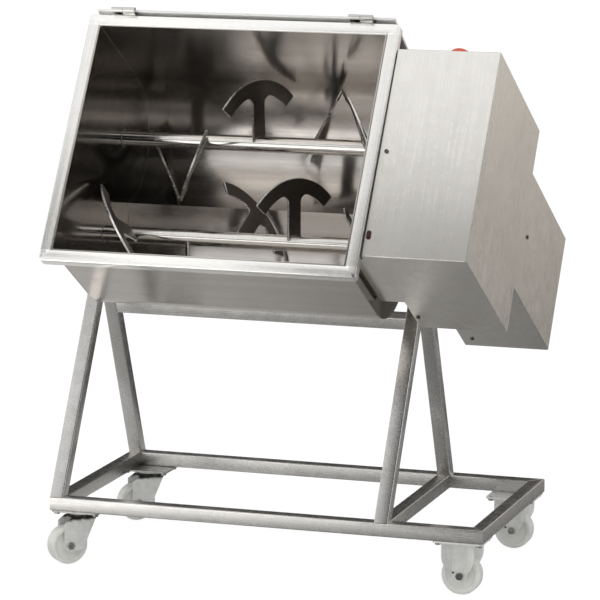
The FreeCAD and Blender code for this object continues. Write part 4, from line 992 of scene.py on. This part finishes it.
@dataclass
class Trolley:
    """Square-tube base frame, two A-shaped pairs of legs and the crossbar, in millimetres."""

    palette: Palette
    base: Base
    edge: float = 2.6
    left_x: float = -475.0
    right_x: float = 265.0
    hub: float = 35.0
    crossbar_z: float = 519.0
    seam: float = 0.5
    foot_seam: float = 0.6
    seam_end: float = 1.5
    seam_lift: float = 0.1

    def member(
        self, name: str, start: Vec, end: Vec, side: Vec, cuts: tuple[Vec, Vec], finish: str
    ) -> None:
        """A round-cornered square tube whose ends are cut by planes.

        Every point of the section runs along the axis until it meets the end plane:
        t = (plane point - section point) . n / (axis . n).

        Args:
            name: the CAD node that it stands for.
            start: axis point on the first cut, in millimetres.
            end: axis point on the second cut.
            side: direction of one pair of walls.
            cuts: normals of the two end planes.
            finish: name of the finish.
        """
        p, q, u = (np.array(v, float) for v in (start, end, side))
        axis = (q - p) / np.linalg.norm(q - p)
        u = u / np.linalg.norm(u)
        w = np.cross(axis, u)
        loop = rounded_rectangle(self.base.tube, self.base.tube, self.edge, 5)
        around = loop[:, :1] * u + loop[:, 1:] * w
        rings = []
        for point, cut in ((p, cuts[0]), (q, cuts[1])):
            n = np.array(cut, float)
            run = -(around @ n) / (axis @ n)
            rings.append(point + around + run[:, None] * axis)
        middle = [rings[0] + (rings[1] - rings[0]) * s for s in (0.25, 0.5, 0.75)]
        tube = Surface()
        tube.tube(np.stack([rings[0], *middle, rings[1]]) * MM)
        tube.build(name + "_dressed", [self.palette[finish]], "stand", "frame_steel", [name])

    def rails(self) -> None:
        """Four mitred rails and the cross rail between them."""
        base = self.base
        a, b = base.half_length - base.tube / 2, base.half_depth - base.tube / 2
        z = base.underside + base.tube / 2
        for name, side in (("rail_front", -1), ("rail_rear", 1)):
            cuts = ((-1, -side, 0), (1, -side, 0))
            self.member(name, (-a, side * b, z), (a, side * b, z), (0, 1, 0), cuts, "frame_satin")
        for name, side in (("rail_left", -1), ("rail_right", 1)):
            cuts = ((-side, -1, 0), (-side, 1, 0))
            self.member(name, (side * a, -b, z), (side * a, b, z), (1, 0, 0), cuts, "frame_cross_satin")
        inner = base.half_depth - base.tube
        ends = ((0, 1, 0), (0, 1, 0))
        x = self.right_x
        self.member("rail_cross", (x, -inner, z), (x, inner, z), (1, 0, 0), ends, "frame_cross_satin")

    def legs(self) -> None:
        """Two leaning legs at each end that meet at the pivot hub, and the crossbar."""
        foot_z = self.base.rail_top
        pivot_y, pivot_z = self.base.pivot
        for word, x in (("left", self.left_x), ("right", self.right_x)):
            for side, lean in ((Side.FRONT, self.base.lean_front), (Side.REAR, -self.base.lean_rear)):
                t = math.radians(lean)
                foot = (x, pivot_y - (pivot_z - foot_z) * math.tan(t), foot_z)
                top = (x, pivot_y - self.hub * math.sin(t), pivot_z - self.hub * math.cos(t))
                cuts = ((0, 0, 1), (0, math.sin(t), math.cos(t)))
                name = f"leg_{side.name.lower()}_{word}"
                self.member(name, foot, top, (1, 0, 0), cuts, "frame_leg_satin")
        t = math.radians(self.base.lean_rear)
        y = pivot_y + (pivot_z - self.crossbar_z) * math.tan(t)
        side = (0, -math.sin(t), math.cos(t))
        ends = ((1, 0, 0), (1, 0, 0))
        half = self.base.tube / 2
        start, end = (self.left_x + half, y, self.crossbar_z), (self.right_x - half, y, self.crossbar_z)
        self.member("crossbar", start, end, side, ends, "frame_satin")

    def seams(self) -> None:
        """Ground weld lines at the rail corners and round the legs' feet."""
        surface = Surface()
        base, short = self.base, self.seam_end
        z = base.rail_top + self.seam_lift
        for sx in (-1, 1):
            for sy in (-1, 1):
                corner = np.array([sx * (base.half_length - short), sy * (base.half_depth - short), z])
                inner = corner - [sx * (base.tube - 2 * short), sy * (base.tube - 2 * short), 0]
                path = corner + (inner - corner) * np.linspace(0, 1, 9)[:, None]
                surface.tube(wire_path(path * MM, self.seam * MM, 6))
        pivot_y, pivot_z = base.pivot
        for x in (self.left_x, self.right_x):
            for lean in (base.lean_front, -base.lean_rear):
                t = math.radians(lean)
                foot = pivot_y - (pivot_z - z) * math.tan(t)
                loop = rounded_rectangle(base.tube, base.tube / math.cos(t), self.edge, 4)
                ring = np.concatenate([loop + [x, foot], np.full((len(loop), 1), z)], axis=1)
                ring = np.concatenate([ring, ring[:1]])
                surface.tube(wire_path(ring * MM, self.foot_seam * MM, 6))
        surface.build("frame_weld_seams", [self.palette["weld_bead"]], "stand", "frame_steel")

    def build(self) -> None:
        """Makes the tube frame."""
        self.rails()
        self.legs()
        self.seams()


@dataclass
class Castor:
    """One nylon wheel, worked out about its axle in millimetres."""

    palette: Palette
    name: str
    centre: Pair
    heading: float
    radius: float = 42.5
    width: float = 32.0
    bore: float = 6.0
    band: float = 9.0
    tread: float = 5.0

    def build(self) -> None:
        """The wheel: a profile of tread, shoulder, dished web and hub spun round the axle.

        Worked out along X, then turned so that the axle lies along the heading's +Y.
        """
        h, r = self.width / 2, self.radius
        rim = r - self.band
        half = np.array(
            [
                (h + 1.5, self.bore), (h + 1.5, 9.6), (h + 0.9, 10.4), (h - 0.6, 11.4), (h - 3.2, 12.6),
                (h - 4.0, 14.5), (h - 4.3, 19.0), (h - 4.2, rim - 5.5), (h - 3.4, rim - 2.8),
                (h - 1.2, rim - 1.2), (h - 0.2, rim - 0.2), (h, rim + 1.0), (h, r - self.tread),
            ]
        )
        tread = arc((h - self.tread, r - self.tread), self.tread, 0.0, 90.0, 7)[1:]
        right = np.concatenate([half, tread])
        profile = np.concatenate([right, [(0.0, r)], right[::-1] * [-1.0, 1.0]])
        turn = math.radians(self.heading + 90.0)
        c, s = math.cos(turn), math.sin(turn)
        turned = revolved(profile, 72) @ np.array([[c, s, 0], [-s, c, 0], [0, 0, 1]])
        rings = (turned + [*self.centre, self.radius]) * MM
        surface = Surface().grid(rings, wrap_rows=True)
        node, body = self.name, "wheel_" + self.name.replace("_wheel", "")
        finishes = [self.palette["nylon_white"]]
        surface.build(node + "_dressed", finishes, body, "white_nylon", [node], 50.0)


@dataclass
class ForkHoles:
    """The small relief hole beside each fixed castor's axle, as a disc of painted shade in the near cheek."""

    palette: Palette
    places: tuple[Pair, ...] = ((418.6, -229.5), (418.6, 186.5))
    height: float = 48.9
    radius: float = 2.4
    proud: float = -0.05
    deep: float = 1.0

    def build(self) -> None:
        """Spins a flat profile about Y at each place, from just proud of the cheek inwards."""
        surface, r = Surface(), self.radius
        profile = np.array([(self.proud, POINT), (self.proud, r), (self.deep, r), (self.deep, POINT)])
        for x, y in self.places:
            rings = revolved(profile, 20)[..., [1, 0, 2]] * [1.0, 1.0, -1.0]
            surface.grid((rings + [x, y, self.height]) * MM)
        surface.build("fork_relief_holes", [self.palette["hole_dark"]], "stand", "zinc_plated")


def paint(frame: dict, node: str, material: Material) -> None:
    """Gives a CAD node of the loaded frame, one that stays in view, its finish."""
    for slot in frame["nodes"][node].material_slots:
        slot.material = material
    log.info("node %s: %s", node, material.name)


@dataclass
class Carried:
    """CAD nodes that keep their shape, with broken edges or only a finish.

    Each soft row has a finish, the record's material slot, the edges' width and the nodes.
    """

    palette: Palette
    frame: dict
    soft: tuple[tuple[str, str, float, tuple[str, ...]], ...] = (
        ("housing_satin", "housing_steel", 0.0007, ("housing_cover", "motor_cover")),
        ("panel_satin", "housing_steel", 0.0006, ("side_panel",)),
        ("lid_satin", "housing_steel", 0.0005, ("lid_panel",)),
        ("turned_steel", "hinge_steel", 0.0005, ("lid_hinges", "hinge_bases")),
        ("turned_steel", "machined_steel", 0.0008, ("pivot_hubs", "trunnion_left", "trunnion_right")),
        ("iron_paint", "bearing_iron", 0.0008, ("shaft_bearings",)),
        ("zinc_plate", "zinc_plated", 0.0006, ("swivel_plates",)),
        ("zinc_bright", "zinc_plated", 0.0006, ("fixed_forks",)),
        ("zinc_swivel", "zinc_plated", 0.0006, ("swivel_fork_front", "swivel_fork_rear")),
        ("nut_steel", "fastener_steel", 0.0005, ("swivel_axle_front", "swivel_axle_rear", "castor_bolts")),
        ("screw_dark", "fastener_steel", 0.0003, ("cover_screws",)),
        ("housing_satin", "control_plate", 0.0004, ("control_panel",)),
        ("button_red", "red_plastic", 0.0006, ("emergency_button",)),
        ("button_green", "green_plastic", 0.0004, ("start_button",)),
        ("black_plastic", "black_plastic", 0.0004, ("stop_button",)),
        ("lens_red", "lamp_red", 0.0003, ("indicator_lamp",)),
        ("black_plastic", "black_plastic", 0.0005, ("cable_gland",)),
    )
    plain: tuple[tuple[str, str], ...] = (
        ("drive_plate", "turned_steel"),
        ("gear_reducer", "reducer_casting"),
        ("drive_motor", "motor_paint"),
        ("contact_blocks", "black_plastic"),
        ("front_gear", "gear_cut"),
        ("rear_gear", "gear_cut"),
    )

    def build(self) -> None:
        """Dresses the nodes."""
        for finish, slot, width, nodes in self.soft:
            for node in nodes:
                softened(node, self.palette[finish], self.frame, width)
        for node, finish in self.plain:
            paint(self.frame, node, self.palette[finish])


# Studio

LOW = 0.003
FLOOR_LEVEL, TOP_LEVEL = (LOW, LOW), (2.88, 2.88)


@dataclass(frozen=True)
class Card:
    """A graded studio card that only reflections see, as a photographer stands beside metal.

    A level card fills its x and y ranges. An upright one runs from (x0, y0) to (x1, y1). The
    greys are its brightness at the low and the high end along the axis.
    """

    name: str
    x: Pair
    y: Pair
    z: Pair
    greys: Pair
    axis: Axis = Axis.X
    tint: Triple = (1.0, 0.985, 0.96)

    def points(self) -> Array:
        """Corners blended by u and v: a(1-u)(1-v) + b u (1-v) + c u v + d (1-u) v."""
        (x0, x1), (y0, y1), (z0, z1) = self.x, self.y, self.z
        second, last = (y0, y1) if z0 == z1 else (y1, y0)
        corners = ((x0, y0, z0), (x1, second, z0), (x1, y1, z1), (x0, last, z1))
        a, b, c, d = (np.array(p, float) for p in corners)
        u, v = (g[..., None] for g in np.meshgrid(np.linspace(0, 1, 9), np.linspace(0, 1, 9)))
        return a * (1 - u) * (1 - v) + b * u * (1 - v) + c * u * v + d * (1 - u) * v

    def build(self) -> None:
        """Makes the card, which glows and is hidden from every ray but the glossy ones."""
        points = self.points()
        mesh = Surface().grid(points, wrap_columns=False).mesh(self.name)
        n = Nodes(self.name)
        coords = n.add("ShaderNodeTexCoord")
        parts = n.add("ShaderNodeSeparateXYZ")
        n.join(coords.outputs["Object"], parts.inputs[0])
        k = self.axis.value
        ends = float(points[..., k].min()), float(points[..., k].max())
        glow = n.add("ShaderNodeEmission")
        glow.inputs["Color"].default_value = (*self.tint, 1.0)
        n.join(n.spread(parts.outputs[k], *self.greys, *ends), glow.inputs["Strength"])
        n.show(glow.outputs[0])
        mesh.materials.append(n.material)
        card = placed(self.name, mesh)
        for rays in ("camera", "diffuse", "shadow", "transmission"):
            setattr(card, "visible_" + rays, False)


@dataclass
class Studio:
    """Pale floor, white surroundings, a soft lamp, cards for the metal, and the camera."""

    eye: Triple = (2.4089, -7.1124, 1.93435)
    yaw: float = 18.7
    pitch: float = -10.3
    roll: float = -0.1
    focal: float = 3500.0
    frame_pixels: float = 600.0
    ambient: float = 0.8
    floor_glow: float = 1.12
    floor_share: float = 0.82
    floor_z: float = -0.0005
    key_place: Triple = (-0.22, -0.92, 2.88)
    key_aim: Triple = (0.35, 0.1, 0.95)
    key_size: Pair = (3.2, 1.6)
    key_power: float = 23.0
    key_tint: Triple = (1.0, 0.965, 0.91)
    cards: tuple[Card, ...] = (
        Card("card_floor_left", (-1.4, -0.35), (-1.9, -0.63), FLOOR_LEVEL, (3.3, 0.92)),
        Card("card_floor_front", (-0.34, 0.5), (-1.9, -0.63), FLOOR_LEVEL, (0.86, 0.6)),
        Card("card_floor_right", (0.5, 1.8), (-1.9, -0.63), FLOOR_LEVEL, (0.12, 0.12)),
        Card("card_floor_mid", (-1.4, 0.6), (-0.62, -0.05), FLOOR_LEVEL, (0.5, 0.14)),
        Card("card_floor_back", (-1.4, 0.6), (-0.04, 1.24), FLOOR_LEVEL, (0.82, 0.12)),
        Card("card_floor_side", (0.6, 1.8), (-0.62, 1.24), FLOOR_LEVEL, (0.3, 0.3)),
        Card("card_floor_far", (-0.3, 1.8), (1.26, 2.15), FLOOR_LEVEL, (0.10, 0.14)),
        Card("card_back_left", (-2.6, 0.4), (1.25, 1.25), (LOW, 2.6), (0.06, 0.06)),
        Card("card_back_right", (0.3, 3.0), (2.2, 2.2), (LOW, 1.6), (0.22, 1.03), Axis.Z, (1.0, 0.94, 0.87)),
        Card("card_front_right", (-0.35, 3.4), (-2.35, -1.2), (LOW, 3.6), (0.002, 0.002)),
        Card("card_front_left", (-3.0, -0.4), (-2.0, -2.5), (LOW, 1.5), (2.1, 1.9)),
        Card("card_front_strip", (-3.0, 0.4), (-1.9, -1.9), (0.83, 0.93), (0.0, 0.0)),
        Card("card_front_band", (-3.0, 0.4), (-1.9, -1.9), (1.25, 1.6), (0.3, 0.3)),
        Card("card_top_right", (-0.6, 1.0), (-2.8, -1.8), TOP_LEVEL, (0.36, 0.36)),
        Card("card_top_rim", (-0.87, -0.61), (-3.2, -1.7), TOP_LEVEL, (0.14, 0.14)),
        Card("card_top_mid", (-1.33, -0.88), (-2.6, -1.0), TOP_LEVEL, (1.14, 1.14)),
        Card("card_top_left", (-2.6, -1.36), (-2.15, -1.5), TOP_LEVEL, (0.0, 0.4), Axis.Y),
    )

    def camera(self) -> None:
        """Long lens at the photograph's place: columns are right, up and backwards."""
        yaw, pitch, roll = (math.radians(a) for a in (self.yaw, self.pitch, self.roll))
        flat = math.cos(pitch)
        ahead = Vector((-math.sin(yaw) * flat, math.cos(yaw) * flat, math.sin(pitch)))
        across = Vector((math.cos(yaw), math.sin(yaw), 0.0))
        above = across.cross(ahead)
        right = math.cos(roll) * across + math.sin(roll) * above
        up = -math.sin(roll) * across + math.cos(roll) * above
        lens = bpy.data.cameras.new("camera")
        lens.sensor_width = 36.0
        lens.lens = self.focal / self.frame_pixels * lens.sensor_width
        lens.clip_end = 100.0
        camera = placed("camera", lens)
        columns = (right, up, -ahead, Vector(self.eye))
        camera.matrix_world = Matrix([*([c[row] for c in columns] for row in range(3)), (0, 0, 0, 1)])
        bpy.context.scene.camera = camera

    def world(self) -> None:
        """White where the camera or a reflection looks, a little dimmer as a lamp."""
        world = bpy.data.worlds.new("surroundings")
        bpy.context.scene.world = world
        world.use_nodes = True
        tree = world.node_tree
        path = tree.nodes.new("ShaderNodeLightPath")
        strength = tree.nodes.new("ShaderNodeMapRange")
        strength.inputs["To Min"].default_value = self.ambient
        strength.inputs["To Max"].default_value = 1.0
        tree.links.new(self.seen(tree, path), strength.inputs["Value"])
        tree.links.new(strength.outputs["Result"], tree.nodes["Background"].inputs["Strength"])
        tree.nodes["Background"].inputs["Color"].default_value = (1.0, 1.0, 1.0, 1.0)

    def seen(self, tree: bpy.types.NodeTree, path: bpy.types.Node) -> Socket:
        """One where the camera, a reflection or a view through glass looks, else zero.

        Args:
            tree: node tree of the material or world.
            path: its Light Path node.

        Returns:
            The largest of three Light Path outputs.
        """
        first = tree.nodes.new("ShaderNodeMath")
        second = tree.nodes.new("ShaderNodeMath")
        first.operation = second.operation = "MAXIMUM"
        tree.links.new(path.outputs["Is Camera Ray"], first.inputs[0])
        tree.links.new(path.outputs["Is Glossy Ray"], first.inputs[1])
        tree.links.new(path.outputs["Is Transmission Ray"], second.inputs[1])
        tree.links.new(first.outputs[0], second.inputs[0])
        return second.outputs[0]

    def floor(self) -> None:
        """Round pale floor: white to the camera, with the object's soft shadow kept."""
        rings = revolved(np.array([(0.0, r) for r in (POINT, 2.0, 5.0, 14.0)]), 48)
        mesh = Surface().grid(rings[..., [1, 2, 0]] + [0.0, 0.0, self.floor_z]).mesh("floor")
        n = Nodes("floor_pale")
        n.give("Base Color", (0.86, 0.86, 0.86, 1.0))
        n.give("Roughness", 0.9)
        n.give("Specular IOR Level", 0.1)
        glow = n.add("ShaderNodeEmission", Strength=self.floor_glow)
        path = n.add("ShaderNodeLightPath")
        share = n.add("ShaderNodeMath", operation="MULTIPLY")
        share.inputs[1].default_value = self.floor_share
        mix = n.add("ShaderNodeMixShader")
        n.join(self.seen(n.tree, path), share.inputs[0])
        n.join(share.outputs[0], mix.inputs[0])
        n.join(n.shader.outputs[0], mix.inputs[1])
        n.join(glow.outputs[0], mix.inputs[2])
        n.show(mix.outputs[0])
        mesh.materials.append(n.material)
        placed("floor", mesh)

    def key(self) -> None:
        """The soft rectangular lamp overhead, which reflections don't see."""
        light = bpy.data.lights.new("key_overhead", "AREA")
        light.shape = "RECTANGLE"
        light.size, light.size_y = self.key_size
        light.energy = self.key_power
        light.color = self.key_tint
        lamp = placed("key_overhead", light)
        lamp.location = self.key_place
        lamp.visible_glossy = False
        aim = Vector(self.key_aim) - Vector(self.key_place)
        lamp.rotation_euler = aim.to_track_quat("-Z", "Y").to_euler()

    def build(self) -> None:
        """Sets up the studio."""
        self.camera()
        self.world()
        self.floor()
        self.key()
        for card in self.cards:
            card.build()
        bpy.context.scene.view_settings.view_transform = "Standard"


def main() -> None:
    """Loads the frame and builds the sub-assemblies in order."""
    logging.basicConfig(level=logging.INFO, format="%(name)s: %(message)s")
    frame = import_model()
    palette = Palette()
    base = Base()
    head = Head(base)
    rear_angles = (258.0, 150.0, 36.0, 328.0, 75.0)
    front_angles = tuple(-a for a in rear_angles)
    rear_twists, front_twists = (-32.0, -26.0, -26.0, 32.0, 32.0), (32.0, -26.0, -32.0, -29.0, -26.0)
    Tub(head, palette, frame).build()
    MixingTools(head, palette, Side.REAR, rear_angles, rear_twists, 332.0).build()
    MixingTools(head, palette, Side.FRONT, front_angles, front_twists, 456.0).build()
    Trolley(palette, base).build()
    castor_x, castor_y, trail = 433.0, 208.0, 35.0
    for side, heading in ((Side.FRONT, 44.0), (Side.REAR, 38.0)):
        t = math.radians(heading)
        word = side.name.lower()
        middle = (-castor_x - trail * math.cos(t), side.value * castor_y - trail * math.sin(t))
        Castor(palette, "swivel_wheel_" + word, middle, heading).build()
        Castor(palette, "fixed_wheel_" + word, (castor_x, side.value * castor_y), 0.0).build()
    ForkHoles(palette).build()
    Carried(palette, frame).build()
    Studio().build()


if __name__ == "__main__":
    main()
